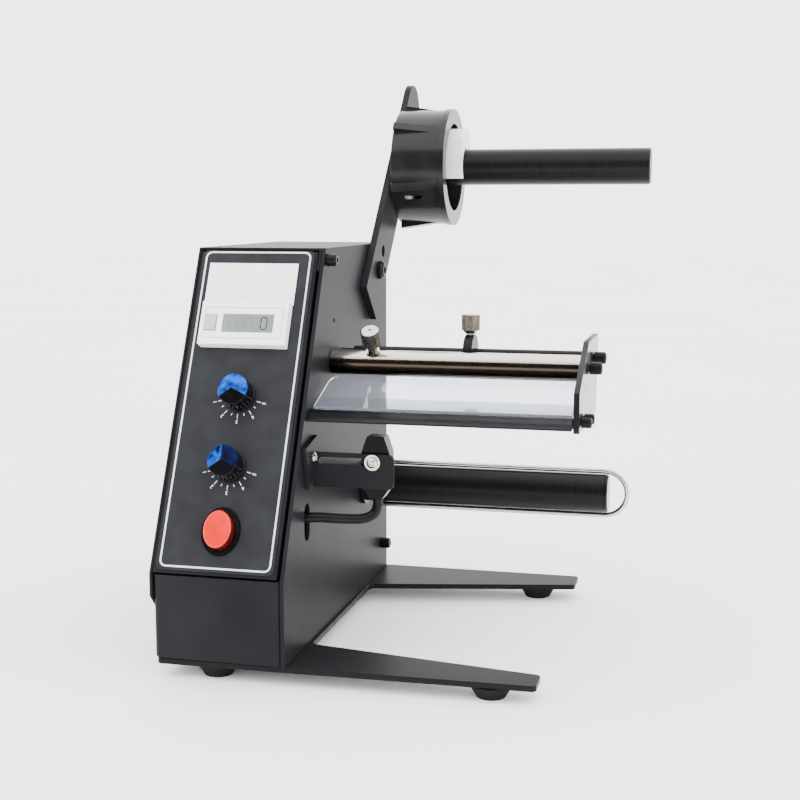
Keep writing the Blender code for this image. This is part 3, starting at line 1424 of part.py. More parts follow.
def sensor():
    """The light sensor behind its bracket, its screw and its lead."""
    outline = [
        (-SENSOR_LOW_HALF, SENSOR_LOW),
        (SENSOR_LOW_HALF, SENSOR_LOW),
        (SENSOR_HALF, SENSOR_WAIST),
        (SENSOR_HALF, SENSOR_SHOULDER),
        (SENSOR_TOP_HALF, SENSOR_TOP),
        (-SENSOR_TOP_HALF, SENSOR_TOP),
        (-SENSOR_HALF, SENSOR_SHOULDER),
        (-SENSOR_HALF, SENSOR_WAIST),
    ]
    back = -SENSOR_PLATE_Y - SENSOR_SHEET - FIT
    case = plate("sensor_body", FRONT, outline, back - SENSOR_DEPTH, back, BLACK_PLASTIC, (), (SENSOR_X, 0))
    place_on_face = (SENSOR_X + SENSOR_SCREW_SHIFT, SENSOR_SLOT_HEIGHT)
    seat = -SENSOR_PLATE_Y + FIT
    start = (*place_on_face, seat - PAN_GRIP - FIT)
    bore = M3_RADIUS + FIT
    cut(case, cylinder("sensor_bore", FRONT, start, bore, PAN_GRIP, BLACK_PLASTIC, SMALL_ROUND))
    pan_screw("sensor_screw", FRONT, (*place_on_face, seat), WASHER_THICK, PAN_GRIP)
    wire("sensor_lead", DECK, (0, 0, 0), smooth_route(LEAD_ROUTE), LEAD_RADIUS, BLACK_RUBBER)


def smooth_route(route):
    """Even points along a smooth curve through the route's own points."""
    points = [Vector(point) for point in route]
    padded = [2 * points[0] - points[1], *points, 2 * points[-1] - points[-2]]
    fine = []
    for a, b, c, d in zip(padded, padded[1:], padded[2:], padded[3:]):
        for part in range(ROUND):
            t = part / ROUND
            bend = (c - a) * t + (2 * a - 5 * b + 4 * c - d) * t * t + (3 * b - a - 3 * c + d) * t * t * t
            fine.append(b + bend / 2)
    fine.append(points[-1])
    spaced = [fine[0]]
    for point in fine[1:-1]:
        far_enough = (point - spaced[-1]).length >= LEAD_STEP
        if far_enough and (fine[-1] - point).length > LEAD_STEP / 2:
            spaced.append(point)
    return [*spaced, fine[-1]]


def electronics():
    """The circuit board on two grooved rails, and the power inlet in the rear."""
    left = -HOUSING_WIDTH + SHEET + 2 * FIT
    right = -BOARD_RIGHT
    inset = RAIL_WIDTH - RAIL_BITE
    low = BOARD_LIFT
    top = BOARD_LIFT + BOARD_THICK
    edges = (left + inset, right - inset)
    near = (edges[0], BOARD_FRONT, low)
    far = (edges[1], BOARD_REAR, top)
    board = block("circuit_board", DECK, near, far, BOARD_GREEN)
    lead = LEAD_ROUTE[-1]
    sunk = top - BOARD_THICK / 2
    centre = ((left + right) / 2, (BOARD_FRONT + BOARD_REAR) / 2)
    plug = ("plug", lead[0], lead[1], PLUG_SIDE / 2, lead[2] - FIT)
    chip = ("chip", *centre, CHIP_SIDE / 2, top + CHIP_HEIGHT)
    for name, x, y, half, height in (plug, chip):
        corners = ((x - half, y - half, sunk), (x + half, y + half, height))
        join(board, block(name, DECK, *corners, BLACK_PLASTIC))
    can = (edges[0] + CHIP_SIDE, BOARD_REAR - CHIP_SIDE, sunk)
    join(board, cylinder("capacitor", DECK, can, CAPACITOR_RADIUS, CAPACITOR_HEIGHT, BLACK_PLASTIC, 24))
    groove_near = (edges[0] - FIT, BOARD_FRONT - OVERRUN, low - FIT)
    groove_far = (edges[1] + FIT, BOARD_REAR + OVERRUN, top + FIT)
    for name, start in (("board_rail_left", left), ("board_rail_right", right - RAIL_WIDTH)):
        corners = ((start, BOARD_FRONT, FIT), (start + RAIL_WIDTH, BOARD_REAR, RAIL_HEIGHT))
        rail = block(name, DECK, *corners, WHITE_NYLON)
        cut(rail, block(name + "_groove", DECK, groove_near, groove_far, WHITE_NYLON))
    inlet = [
        (0, 0),
        (INLET_PIN_RADIUS, 0),
        (INLET_PIN_RADIUS, -INLET_BORE_DEPTH),
        (INLET_BORE_RADIUS, -INLET_BORE_DEPTH),
        (INLET_BORE_RADIUS, FIT + INLET_FLANGE),
        (INLET_FLANGE_RADIUS, FIT + INLET_FLANGE),
        (INLET_FLANGE_RADIUS, FIT),
        (INLET_RADIUS, FIT),
        (INLET_RADIUS, -INLET_DEPTH),
        (0, -INLET_DEPTH),
    ]
    turned("power_inlet", REAR, (-INLET_X, INLET_HEIGHT, 0), inlet, BLACK_PLASTIC, 24)


def wall_screws():
    """The two black socket screws that hold the side plate."""
    head = (M4_HEAD_RADIUS, M4_HEAD_HEIGHT - ROD_CHAMFER)
    grip = WALL_THICK + WALL_SCREW_GRIP - FIT
    for name, (y, height) in zip(("wall_screw_top", "wall_screw_rear"), WALL_SCREWS):
        screw(name, SIDE, (y, height, FIT), head, M4_RADIUS, grip, M4_SOCKET, BLACK_OXIDE)


base_and_feet()
side_plate()
chassis_tray()
cover_shell()
control_panel()
panel_overlay()
counter()
dials()
power_switch()
supply_arm()
core_ring()
roll_stop()
front_bar()
rear_rod()
peel_plate()
end_plate()
takeup_spindle()
wire_clip()
drive()
sensor_bracket()
sensor()
electronics()
wall_screws()
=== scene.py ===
import json
import math

import bmesh
import bpy
from mathutils import Matrix, Vector

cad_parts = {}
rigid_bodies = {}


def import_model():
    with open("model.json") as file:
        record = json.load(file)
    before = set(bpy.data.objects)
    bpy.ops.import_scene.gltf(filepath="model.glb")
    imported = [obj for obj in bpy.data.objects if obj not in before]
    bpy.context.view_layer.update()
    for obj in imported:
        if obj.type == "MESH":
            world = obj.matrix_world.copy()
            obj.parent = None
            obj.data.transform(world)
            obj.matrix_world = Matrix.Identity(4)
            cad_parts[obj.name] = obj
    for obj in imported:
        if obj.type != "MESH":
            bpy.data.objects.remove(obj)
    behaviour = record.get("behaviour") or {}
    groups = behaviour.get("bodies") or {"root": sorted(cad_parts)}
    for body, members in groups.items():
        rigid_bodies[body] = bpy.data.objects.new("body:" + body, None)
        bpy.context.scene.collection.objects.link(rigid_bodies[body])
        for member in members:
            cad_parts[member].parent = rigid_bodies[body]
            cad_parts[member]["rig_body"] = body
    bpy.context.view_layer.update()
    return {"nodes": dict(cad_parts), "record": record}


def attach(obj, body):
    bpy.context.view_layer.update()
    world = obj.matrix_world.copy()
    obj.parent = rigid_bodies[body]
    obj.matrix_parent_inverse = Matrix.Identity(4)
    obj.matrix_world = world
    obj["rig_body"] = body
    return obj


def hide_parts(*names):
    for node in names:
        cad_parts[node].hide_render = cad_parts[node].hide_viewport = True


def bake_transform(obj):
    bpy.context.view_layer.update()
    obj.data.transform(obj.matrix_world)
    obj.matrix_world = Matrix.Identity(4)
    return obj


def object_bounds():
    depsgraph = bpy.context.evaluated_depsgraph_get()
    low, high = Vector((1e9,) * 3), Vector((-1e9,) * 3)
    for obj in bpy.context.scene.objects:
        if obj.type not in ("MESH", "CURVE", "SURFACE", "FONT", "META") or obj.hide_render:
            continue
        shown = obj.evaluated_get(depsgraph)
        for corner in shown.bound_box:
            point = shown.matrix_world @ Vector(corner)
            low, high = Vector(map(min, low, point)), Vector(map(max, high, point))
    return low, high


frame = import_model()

# Lengths are metres. X is from the side plate's outer face, Y runs back from the housing's
# front and heights are above the base plate's top, as the machine was drawn; world() moves
# such a place into the frame.
MIDDLE_X = 0.0441
MIDDLE_Y = 0.139432
BASE_TOP = 0.010
MM = 0.001
SKIN = 0.00005  # how far print and trim stand off what carries them

# The sloped panel and the line printed round it
SLOPE_RUN = 0.077
WALL_HEIGHT = 0.206
NOSE_HEIGHT = 0.044
SLOPE_ANGLE = math.atan2(WALL_HEIGHT - NOSE_HEIGHT, SLOPE_RUN)
FILM_FACE = 0.0006
BORDER_LEFT = -0.0667
BORDER_RIGHT = -0.0073
BORDER_TOP = 0.0026
BORDER_LOW = 0.1752
BORDER_LINE = 0.0009
BORDER_CORNER = 0.0035

# Dials
DIAL_X = -0.036
DIAL_PLACES = (0.084, 0.1218)

# Printed strokes round a dial, from the left round the bottom to the right
MARK_COUNT = 9
MARK_START = math.radians(195)
MARK_END = math.radians(345)
MARK_INNER = 0.0098
MARK_SHORT = 0.0111
MARK_OUTER = 0.0121
MARK_WIDTH = 0.0004
FIGURE_RADIUS = 0.0138
FIGURE_SIZE = 0.0028
FIGURE_WEIGHT = 0.00002

# Knobs, whose three facets face left, right and down
KNOB_LOW = 0.0014
KNOB_APEX = 0.0152
KNOB_SKIRT_RADIUS = 0.0087
KNOB_SKIRT = 0.0016
KNOB_RADIUS = 0.0081
FACET_TILT = math.radians(17)
FACETS = (math.radians(155), math.radians(35), math.radians(275))
KNOB_EDGE = 0.0003

# The button's oval cap
SWITCH_X = -0.036
SWITCH_U = 0.1558
CAP_HALF_WIDTH = 0.0075
CAP_HALF_HEIGHT = 0.0098
CAP_PROUD = 0.0078
CAP_RIM = 0.0016
CAP_STEPS = 4

# Counter
COUNTER_X = -0.038
COUNTER_U = 0.0456
COUNTER_WIDTH = 0.048
COUNTER_HEIGHT = 0.024
COUNTER_PROUD = 0.0065
SCREEN_X = -0.0355
SCREEN_SEAT = 0.0048
SCREEN_THICK = 0.0012
SCREEN_FACE = SCREEN_SEAT + SCREEN_THICK
DIGIT_HEIGHT = 0.0066
DIGIT_WIDTH = 0.0032
DIGIT_STEP = 0.0044
DIGIT_BAR = 0.00055
COUNTER_MARGIN = 0.0022
COUNTER_LINE = 0.0004
DIGIT_COUNT = 5
SEGMENT_PLACES = (
    # middle of the bar in half widths and half heights, and whether it lies flat
    (0, 1, True),
    (0, 0, True),
    (0, -1, True),
    (-1, 0.5, False),
    (1, 0.5, False),
    (-1, -0.5, False),
    (1, -0.5, False),
)

# Thumbscrews, the front bar's chrome with a painted dark reflection on its lower half, and the collar
THUMB_RADIUS = 0.005
THUMB_TILT = math.radians(32)
BAR_THUMB = (0.024, 0.0873, 0.1445)
BAR_RADIUS = 0.0067
# Heights about the bar's axis over which the chrome's painted reflection goes from dark to light
BAR_PAINTED_SHADE_LOW = 0.0005
BAR_PAINTED_SHADE_HIGH = 0.0052
COLLAR_THUMB = (0.0724, 0.109, 0.1477)
COLLAR_RADIUS = 0.011
GAP = 0.0003
THUMB_KNURLS = 36
THUMB_KNURL = 0.00025
THUMB_CHAMFER = 0.0015
THUMB_NECK_RADIUS = 0.0026
THUMB_FLANGE_RADIUS = 0.0037
THUMB_EDGE = 0.0006
DIMPLE_RADIUS = 0.0012
DIMPLE_DEPTH = 0.0005
BAR_THUMB_NECK = 0.0028
BAR_THUMB_FLANGE = 0.0012
BAR_THUMB_HEAD = 0.0105
BAR_SHANK_RADIUS = 0.002
BAR_SHANK_PAST = 0.0008
COLLAR_THUMB_NECK = 0.0007
COLLAR_THUMB_HEAD = 0.0099
COLLAR_SHANK_RADIUS = 0.0015
COLLAR_SHANK_TIP = 0.0038

# Black block inside, behind the seam under the panel, standing in for the seam's shade
SEAM_LEFT = -0.069
SEAM_RIGHT = -0.004
SEAM_FRONT = 0.0032
SEAM_REAR = 0.0062
SEAM_LOW = 0.0405
SEAM_TOP = 0.0465
SEAM_ROUND = 0.0008

# Wire clip
SPINDLE_Y = 0.152
SPINDLE_HEIGHT = 0.0651
WIRE_RADIUS = 0.0015
WIRE_LIFT = 0.0128
WIRE_START = 0.008
WIRE_REACH = 0.1558
WIRE_STEPS = 20

# Sensor lead
LEAD_RADIUS = 0.0027
LEAD_ROUTE = (
    (0.0343, 0.0532, 0.0772),
    (0.0343, 0.0532, 0.0735),
    (0.0325, 0.0520, 0.0690),
    (0.0270, 0.0490, 0.0668),
    (0.0162, 0.0450, 0.0672),
    (0.0070, 0.0412, 0.0682),
    (0.0000, 0.0393, 0.0680),
    (-0.0080, 0.0393, 0.0660),
    (-0.0150, 0.0400, 0.0590),
    (-0.0180, 0.0410, 0.0480),
    (-0.0190, 0.0420, 0.0360),
    (-0.0190, 0.0420, 0.0250),
    (-0.0190, 0.0420, 0.0178),
)
LEAD_PARTS = 5

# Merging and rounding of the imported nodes' copies
MERGE = 0.000005
FLAT_ANGLE = math.radians(0.5)
SHEET_EDGE = 0.0003
FINE_EDGE = 0.00015

# How round small curves are drawn
CORNER_SEGMENTS = 6
FIGURE_ROUNDNESS = 3
TUBE_ROUNDNESS = 4
KNOB_SIDES = 72
CAP_SIDES = 96

# How far a face's normal must point along an axis for the face to count as that kind
END_FACE = 0.9
PEEL_TOP_FACE = 0.95
SHEET_FACE = 0.7
SIDE_WALL = 0.5
KNOB_FACET = (0.5, 0.99)
CAP_WALL = 0.2
THUMB_SHOULDER = 0.3

# Facets by their azimuth in degrees
RIGHT_FACET_END = 90
LEFT_FACET_END = 220

# Camera, floor, flag and sky
CAMERA_PLACE = (0.16725, -0.76404, 0.23767)
CAMERA_TURN = (81.98, 0.0, 13.69)
CAMERA_LENS = 61.64
FLOOR_SIZE = 12.0
FLAG_PLACE = (0.1, -1.6, 0.62)
FLAG_SIZE = 1.5
FLAG_WIDTH_SHARE = 2.2
SKY_STRENGTH = 4.0
CAMERA_REACH = 50


def world(x, y, z):
    """A drawn place in the frame."""
    return Vector((x - MIDDLE_X, y - MIDDLE_Y, z + BASE_TOP))


def panel_place(x, u, proud):
    """Where a panel piece stands: u down from the panel's top edge, proud of its face."""
    up = Vector((0, math.cos(SLOPE_ANGLE), math.sin(SLOPE_ANGLE)))
    out = Vector((0, -math.sin(SLOPE_ANGLE), math.cos(SLOPE_ANGLE)))
    return world(x, SLOPE_RUN, WALL_HEIGHT) - up * u + out * proud


# Materials


def linear(hex_colour):
    """An sRGB hex colour as linear RGBA."""
    parts = [int(hex_colour[i : i + 2], 16) / 255 for i in (1, 3, 5)]
    return (*(p / 12.92 if p <= 0.04045 else ((p + 0.055) / 1.055) ** 2.4 for p in parts), 1.0)


def add(tree, kind, inputs=None, **settings):
    """Adds a node; an input takes a value or another node's socket."""
    made = tree.nodes.new(kind)
    for name, value in settings.items():
        setattr(made, name, value)
    for socket, value in (inputs or {}).items():
        if isinstance(value, bpy.types.NodeSocket):
            tree.links.new(value, made.inputs[socket])
        else:
            made.inputs[socket].default_value = value
    return made


def finish_of(name, **sockets):
    """A new Principled material: (material, tree, shader, object coordinates)."""
    made = bpy.data.materials.new(name)
    made.use_nodes = True
    tree = made.node_tree
    shader = tree.nodes["Principled BSDF"]
    for socket, value in sockets.items():
        shader.inputs[socket.replace("_", " ")].default_value = value
    place = add(tree, "ShaderNodeTexCoord").outputs["Object"]
    return made, tree, shader, place


def speckle(tree, place, size_mm, detail=2.0, stretch=(1, 1, 1)):
    """Noise whose grains are size_mm across, as a socket from 0 to 1."""
    mapped = add(tree, "ShaderNodeMapping", {"Vector": place, "Scale": stretch})
    inputs = {"Vector": mapped.outputs["Vector"], "Scale": 1 / (size_mm * MM), "Detail": detail}
    return add(tree, "ShaderNodeTexNoise", inputs).outputs["Fac"]


def spread(tree, socket, low, high):
    """The middle of a noise spread out to low..high."""
    inputs = {"Value": socket, "From Min": 0.3, "From Max": 0.7, "To Min": low, "To Max": high}
    return add(tree, "ShaderNodeMapRange", inputs).outputs["Result"]


def blend_colours(tree, socket, dark, light):
    """A colour between two hex colours."""
    ramp = add(tree, "ShaderNodeValToRGB", {"Fac": socket})
    ramp.color_ramp.elements[0].color = linear(dark)
    ramp.color_ramp.elements[1].color = linear(light)
    ramp.color_ramp.elements[0].position = 0.3
    ramp.color_ramp.elements[1].position = 0.7
    return ramp.outputs["Color"]


def set_bump(tree, shader, height, strength, depth_mm):
    """Bump on a shader from a height socket."""
    inputs = {"Height": height, "Strength": strength, "Distance": depth_mm * MM}
    bump = add(tree, "ShaderNodeBump", inputs)
    tree.links.new(bump.outputs["Normal"], shader.inputs["Normal"])


def powder_coat():
    """Semi-gloss black powder coat on steel sheet: melted grains leave a fine orange peel."""
    made, tree, shader, place = finish_of("black_powder_coat", IOR=1.11)
    peel = speckle(tree, place, 0.9, 3.0)
    cloud = speckle(tree, place, 45.0, 1.0)
    tree.links.new(blend_colours(tree, cloud, "#18191b", "#1e1f21"), shader.inputs["Base Color"])
    tree.links.new(spread(tree, peel, 0.34, 0.44), shader.inputs["Roughness"])
    set_bump(tree, shader, peel, 0.25, 0.05)
    return made


def anodised(name, dark, light, roughness, ior=1.22):
    """Black anodised aluminium: turned or milled, so faint marks run across its length. They are
    drawn coarser than real ones, so that they show."""
    made, tree, shader, place = finish_of(name, Metallic=0.1, IOR=ior)
    marks = speckle(tree, place, 0.5, 2.0, (1, 0.06, 0.06))
    tree.links.new(blend_colours(tree, marks, dark, light), shader.inputs["Base Color"])
    tree.links.new(spread(tree, marks, roughness, roughness + 0.1), shader.inputs["Roughness"])
    set_bump(tree, shader, marks, 0.04, 0.02)
    return made


def moulded(name, dark, light, roughness, grain_mm=0.6, bump=0.12, coat=0.0, ior=1.5, cloud_mm=12.0):
    """Moulded plastic: a slightly clouded colour and a mould grain, drawn coarser than real so
    that it shows."""
    made, tree, shader, place = finish_of(name, IOR=ior)
    shader.inputs["Coat Weight"].default_value = coat
    shader.inputs["Coat Roughness"].default_value = 0.08
    grain = speckle(tree, place, grain_mm, 2.0)
    cloud = speckle(tree, place, cloud_mm, 1.0)
    tree.links.new(blend_colours(tree, cloud, dark, light), shader.inputs["Base Color"])
    tree.links.new(spread(tree, grain, roughness, roughness + 0.08), shader.inputs["Roughness"])
    set_bump(tree, shader, grain, bump, 0.03)
    return made


def plated(name, dark, light, roughness):
    """Nickel or zinc plate on steel: bright, with a faint speckle, drawn coarser than real."""
    made, tree, shader, place = finish_of(name, Metallic=1.0)
    marks = speckle(tree, place, 0.7, 3.0, (0.35, 1, 1))
    tree.links.new(blend_colours(tree, marks, dark, light), shader.inputs["Base Color"])
    tree.links.new(spread(tree, marks, roughness, roughness + 0.08), shader.inputs["Roughness"])
    set_bump(tree, shader, marks, 0.2, 0.02)
    return made


def chrome_with_painted_reflection():
    """Hard chrome on the front bar, with a painted reflection: its colour goes from dark brown on the
    lower side to light on top. This stands in for the dark surroundings its lower half mirrors and the
    bright sky its top mirrors."""
    made, tree, shader, place = finish_of("hard_chrome_painted_reflection", Metallic=1.0)
    # Painted reflection: the base colour darkens towards the bar's lower side
    height = add(tree, "ShaderNodeSeparateXYZ", {"Vector": place}).outputs["Z"]
    middle = world(*BAR_THUMB).z
    low, high = middle - BAR_PAINTED_SHADE_LOW, middle + BAR_PAINTED_SHADE_HIGH
    inputs = {"Value": height, "From Min": low, "From Max": high, "To Min": 0.25, "To Max": 0.75}
    share = add(tree, "ShaderNodeMapRange", inputs).outputs["Result"]
    colour = blend_colours(tree, share, "#453a31", "#cfc9bf")
    tree.links.new(colour, shader.inputs["Base Color"])
    marks = speckle(tree, place, 0.7, 3.0, (0.35, 1, 1))
    tree.links.new(spread(tree, marks, 0.12, 0.2), shader.inputs["Roughness"])
    set_bump(tree, shader, marks, 0.1, 0.02)
    return made


def rubber():
    """Moulded rubber: dull black with a dusty bloom."""
    made, tree, shader, place = finish_of("black_moulded_rubber", IOR=1.2)
    dust = speckle(tree, place, 1.5, 3.0)
    tree.links.new(blend_colours(tree, dust, "#0c0c0d", "#161617"), shader.inputs["Base Color"])
    tree.links.new(spread(tree, dust, 0.55, 0.75), shader.inputs["Roughness"])
    set_bump(tree, shader, dust, 0.2, 0.05)
    return made


def clear_sheet():
    """Cast acrylic with polished edges: nearly clear, with a cold blue tint where it is deep."""
    made, tree, shader, place = finish_of("clear_cast_acrylic", IOR=1.34, Roughness=0.03)
    shader.inputs["Transmission Weight"].default_value = 0.94
    haze = speckle(tree, place, 30.0, 1.0)
    tree.links.new(blend_colours(tree, haze, "#e3ebfb", "#edf3fd"), shader.inputs["Base Color"])
    return made


def solder_mask():
    """Green solder mask over copper tracks, which show as slightly lighter lines."""
    made, tree, shader, place = finish_of("green_solder_mask", IOR=1.5, Roughness=0.3)
    inputs = {"Vector": place, "Scale": 1 / (5 * MM)}
    tracks = add(tree, "ShaderNodeTexBrick", inputs).outputs["Fac"]
    tree.links.new(blend_colours(tree, tracks, "#0d4a24", "#1b6a38"), shader.inputs["Base Color"])
    return made


COAT = powder_coat()
ANODISED = anodised("black_anodised_aluminium", "#0d0d0e", "#141416", 0.3)
EDGE_ANODISED = anodised("black_anodised_plate", "#1a1a1d", "#232327", 0.14, 1.4)
PEEL_GLOSS = anodised("black_anodised_polished_plate", "#10131a", "#181c26", 0.05, 1.6)
GLOSS_BLACK = moulded("black_gloss_abs", "#070708", "#0c0c0e", 0.14, 0.8, 0.05, ior=1.25)
RING_BLACK = moulded("black_moulded_abs_ring", "#141415", "#1c1c1e", 0.18, 0.5, 0.08, ior=1.3)
SENSOR_BLACK = moulded("black_moulded_abs_sensor", "#030303", "#060607", 0.24, 0.5, 0.15, ior=1.2)
OXIDE = anodised("black_oxide_steel", "#0b0b0c", "#131315", 0.34)
RUBBER = rubber()
FILM = moulded("dark_grey_polyester_film", "#1f2023", "#25262a", 0.42, 0.35, 0.12, ior=1.2)
LABEL_WHITE = moulded("white_polyester_label", "#e9eaea", "#f4f4f4", 0.45, 0.5, 0.06)
BEZEL_WHITE = moulded("light_grey_moulded_abs", "#eeeeec", "#f8f8f6", 0.36, 0.5, 0.1)
LCD_GREEN = moulded("liquid_crystal_window", "#5f6a61", "#6b766c", 0.12, 4.0, 0.02, 0.2)
KEY_LIGHT = moulded("grey_moulded_key", "#a2a5a6", "#b0b2b2", 0.35)
SEGMENT_DARK = moulded("liquid_crystal_segment", "#101411", "#1a1f1b", 0.2, 2.0, 0.02, ior=1.2)
SEGMENT_FAINT = moulded("unlit_liquid_crystal_segment", "#555f57", "#5d675f", 0.15, 2.0, 0.02)
RED_GLOSS = moulded("red_gloss_moulded_cap", "#b80c09", "#d81c14", 0.14, 2.0, 0.03, 0.15, 1.3)
# A darker copy of the cap's red, used as painted shade on its side walls
RED_CAP_PAINTED_SHADE = moulded("red_cap_side_painted_shade", "#3f0807", "#5a0d0b", 0.18, 2.0, 0.03, 0.3)
LEAD_BLACK = moulded("black_vinyl_jacket", "#0a0a0b", "#121214", 0.34, 0.8, 0.1, ior=1.25)
# A darker copy of the blue cap, used as painted shade on a knob facet
BLUE_CAP_PAINTED_SHADE = moulded("blue_gloss_cap_painted_shade", "#01030c", "#030f38", 0.12, 2.0, 0.03, ior=1.12, cloud_mm=4.5)
# Blue cap: the blue is its own colour, and the large patches from near black to bright blue are painted
# reflections
BLUE_CAP_PAINTED_REFLECTION = moulded("blue_gloss_cap_painted_reflection", "#00040f", "#0b4eb4", 0.12, 2.0, 0.03, ior=1.1, cloud_mm=4.5)
NYLON = moulded("white_moulded_nylon", "#dfe0e0", "#eeeeec", 0.34, 0.8, 0.1)
PRINT = moulded("white_screen_print", "#c3c6c9", "#d6d8da", 0.5, 0.3, 0.05)
CHROME = chrome_with_painted_reflection()
NICKEL = plated("bright_nickel_plate", "#b5aea2", "#d2ccc2", 0.16)
NICKEL_SIDE = plated("satin_nickel_knurl", "#6f675d", "#8d857a", 0.24)
ZINC = plated("zinc_plated_steel", "#9a9c9e", "#b9bbbd", 0.3)
ACETAL = moulded("natural_acetal", "#dbd6c2", "#e6e1ce", 0.4)
# Black for the block that stands in for the shade behind the panel seam
SHADE_BLOCK_BLACK = moulded("black_painted_shade_block", "#040404", "#0b0b0b", 0.8, 0.4, 0.6, ior=1.05)
CLEAR = clear_sheet()
MASK = solder_mask()


# Modelling helpers


def nothing_selected():
    """Deselects every object, because an operator acts on all that is selected."""
    if bpy.context.mode != "OBJECT":
        bpy.ops.object.mode_set(mode="OBJECT")
    bpy.ops.object.select_all(action="DESELECT")


def only(piece):
    """Selects one object alone and makes it active."""
    nothing_selected()
    piece.select_set(True)
    bpy.context.view_layer.objects.active = piece


def primitive(operator, name, material, **settings):
    """Adds a primitive with an operator and names it."""
    nothing_selected()
    operator(**settings)
    made = bpy.context.active_object
    made.name = name
    made.data.materials.clear()
    made.data.materials.append(material)
    return made


def edit(piece, mode, chosen):
    """Opens edit mode on a piece with the chosen faces, edges or vertices selected."""
    only(piece)
    bpy.ops.object.mode_set(mode="EDIT")
    bpy.ops.mesh.select_mode(type=mode)
    bpy.ops.mesh.select_all(action="DESELECT")
    mesh = bmesh.from_edit_mesh(piece.data)
    group = {"FACE": mesh.faces, "EDGE": mesh.edges, "VERT": mesh.verts}[mode]
    group.ensure_lookup_table()
    for element in group:
        if chosen(element):
            element.select_set(True)
    mesh.select_flush_mode()
    bmesh.update_edit_mesh(piece.data)


def done():
    """Leaves edit mode."""
    bpy.ops.object.mode_set(mode="OBJECT")


def modify(piece, kind, **settings):
    """Adds a modifier with its settings and applies it."""
    only(piece)
    modifier = piece.modifiers.new(kind, kind)
    for name, value in settings.items():
        setattr(modifier, name, value)
    bpy.ops.object.modifier_apply(modifier=modifier.name)


def rounded_edges(piece, width, segments=2, angle=35):
    """Rounds a piece's sharp edges."""
    limit = math.radians(angle)
    modify(piece, "BEVEL", width=width, segments=segments, limit_method="ANGLE", angle_limit=limit)


def smooth(piece, angle=35):
    """Shades smooth but for edges sharper than the angle."""
    only(piece)
    bpy.ops.object.shade_smooth_by_angle(angle=math.radians(angle))
    modify(piece, "WEIGHTED_NORMAL", keep_sharp=True)


def settle(piece, matrix):
    """Puts a piece in its place and writes that place into its mesh."""
    only(piece)
    piece.matrix_world = matrix @ piece.matrix_world
    bpy.ops.object.transform_apply(location=True, rotation=True, scale=True)


def fit(piece, body, slot, *nodes):
    """Ties a finished piece to its body and hides the nodes it stands for. The slot is not used."""
    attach(piece, body)
    if nodes:
        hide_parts(*nodes)


def on_panel(x, u, proud=0.0):
    """The matrix that takes a piece made flat at the origin to its place on the sloped panel."""
    turn = Matrix.Rotation(SLOPE_ANGLE, 4, "X")
    return Matrix.Translation(panel_place(x, u, proud)) @ turn


def worked_copy(node, name, material, width=0.0, angle=35):
    """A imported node's mesh, merged, with its flat faces whole again and its edges rounded."""
    source = frame["nodes"][node]
    made = bpy.data.objects.new(name, source.data.copy())
    bpy.context.scene.collection.objects.link(made)
    made.data.materials.clear()
    made.data.materials.append(material)
    only(made)
    bpy.ops.object.mode_set(mode="EDIT")
    bpy.ops.mesh.select_all(action="SELECT")
    bpy.ops.mesh.remove_doubles(threshold=MERGE)
    bpy.ops.mesh.dissolve_limited(angle_limit=FLAT_ANGLE)
    done()
    if width:
        rounded_edges(made, width, angle=angle)
    smooth(made, angle)
    fit(made, source["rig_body"], SLOT_OF[node], node)


# Carried-over nodes

SLOT_OF = {part["node"]: part["material_slot"] for part in frame["record"]["subparts"]}

HIDDEN_FINISH = {
    "circuit_board": MASK,
    "drive_gear": ACETAL,
    "motor_pinion": ACETAL,
    "spindle_bearing": OXIDE,
    "gear_motor": ZINC,
    "motor_bracket": ZINC,
    "potentiometer_1": ZINC,
    "potentiometer_2": ZINC,
    "board_rail_left": NYLON,
    "board_rail_right": NYLON,
    "bar_nut": NICKEL,
    "rod_nut": NICKEL,
}

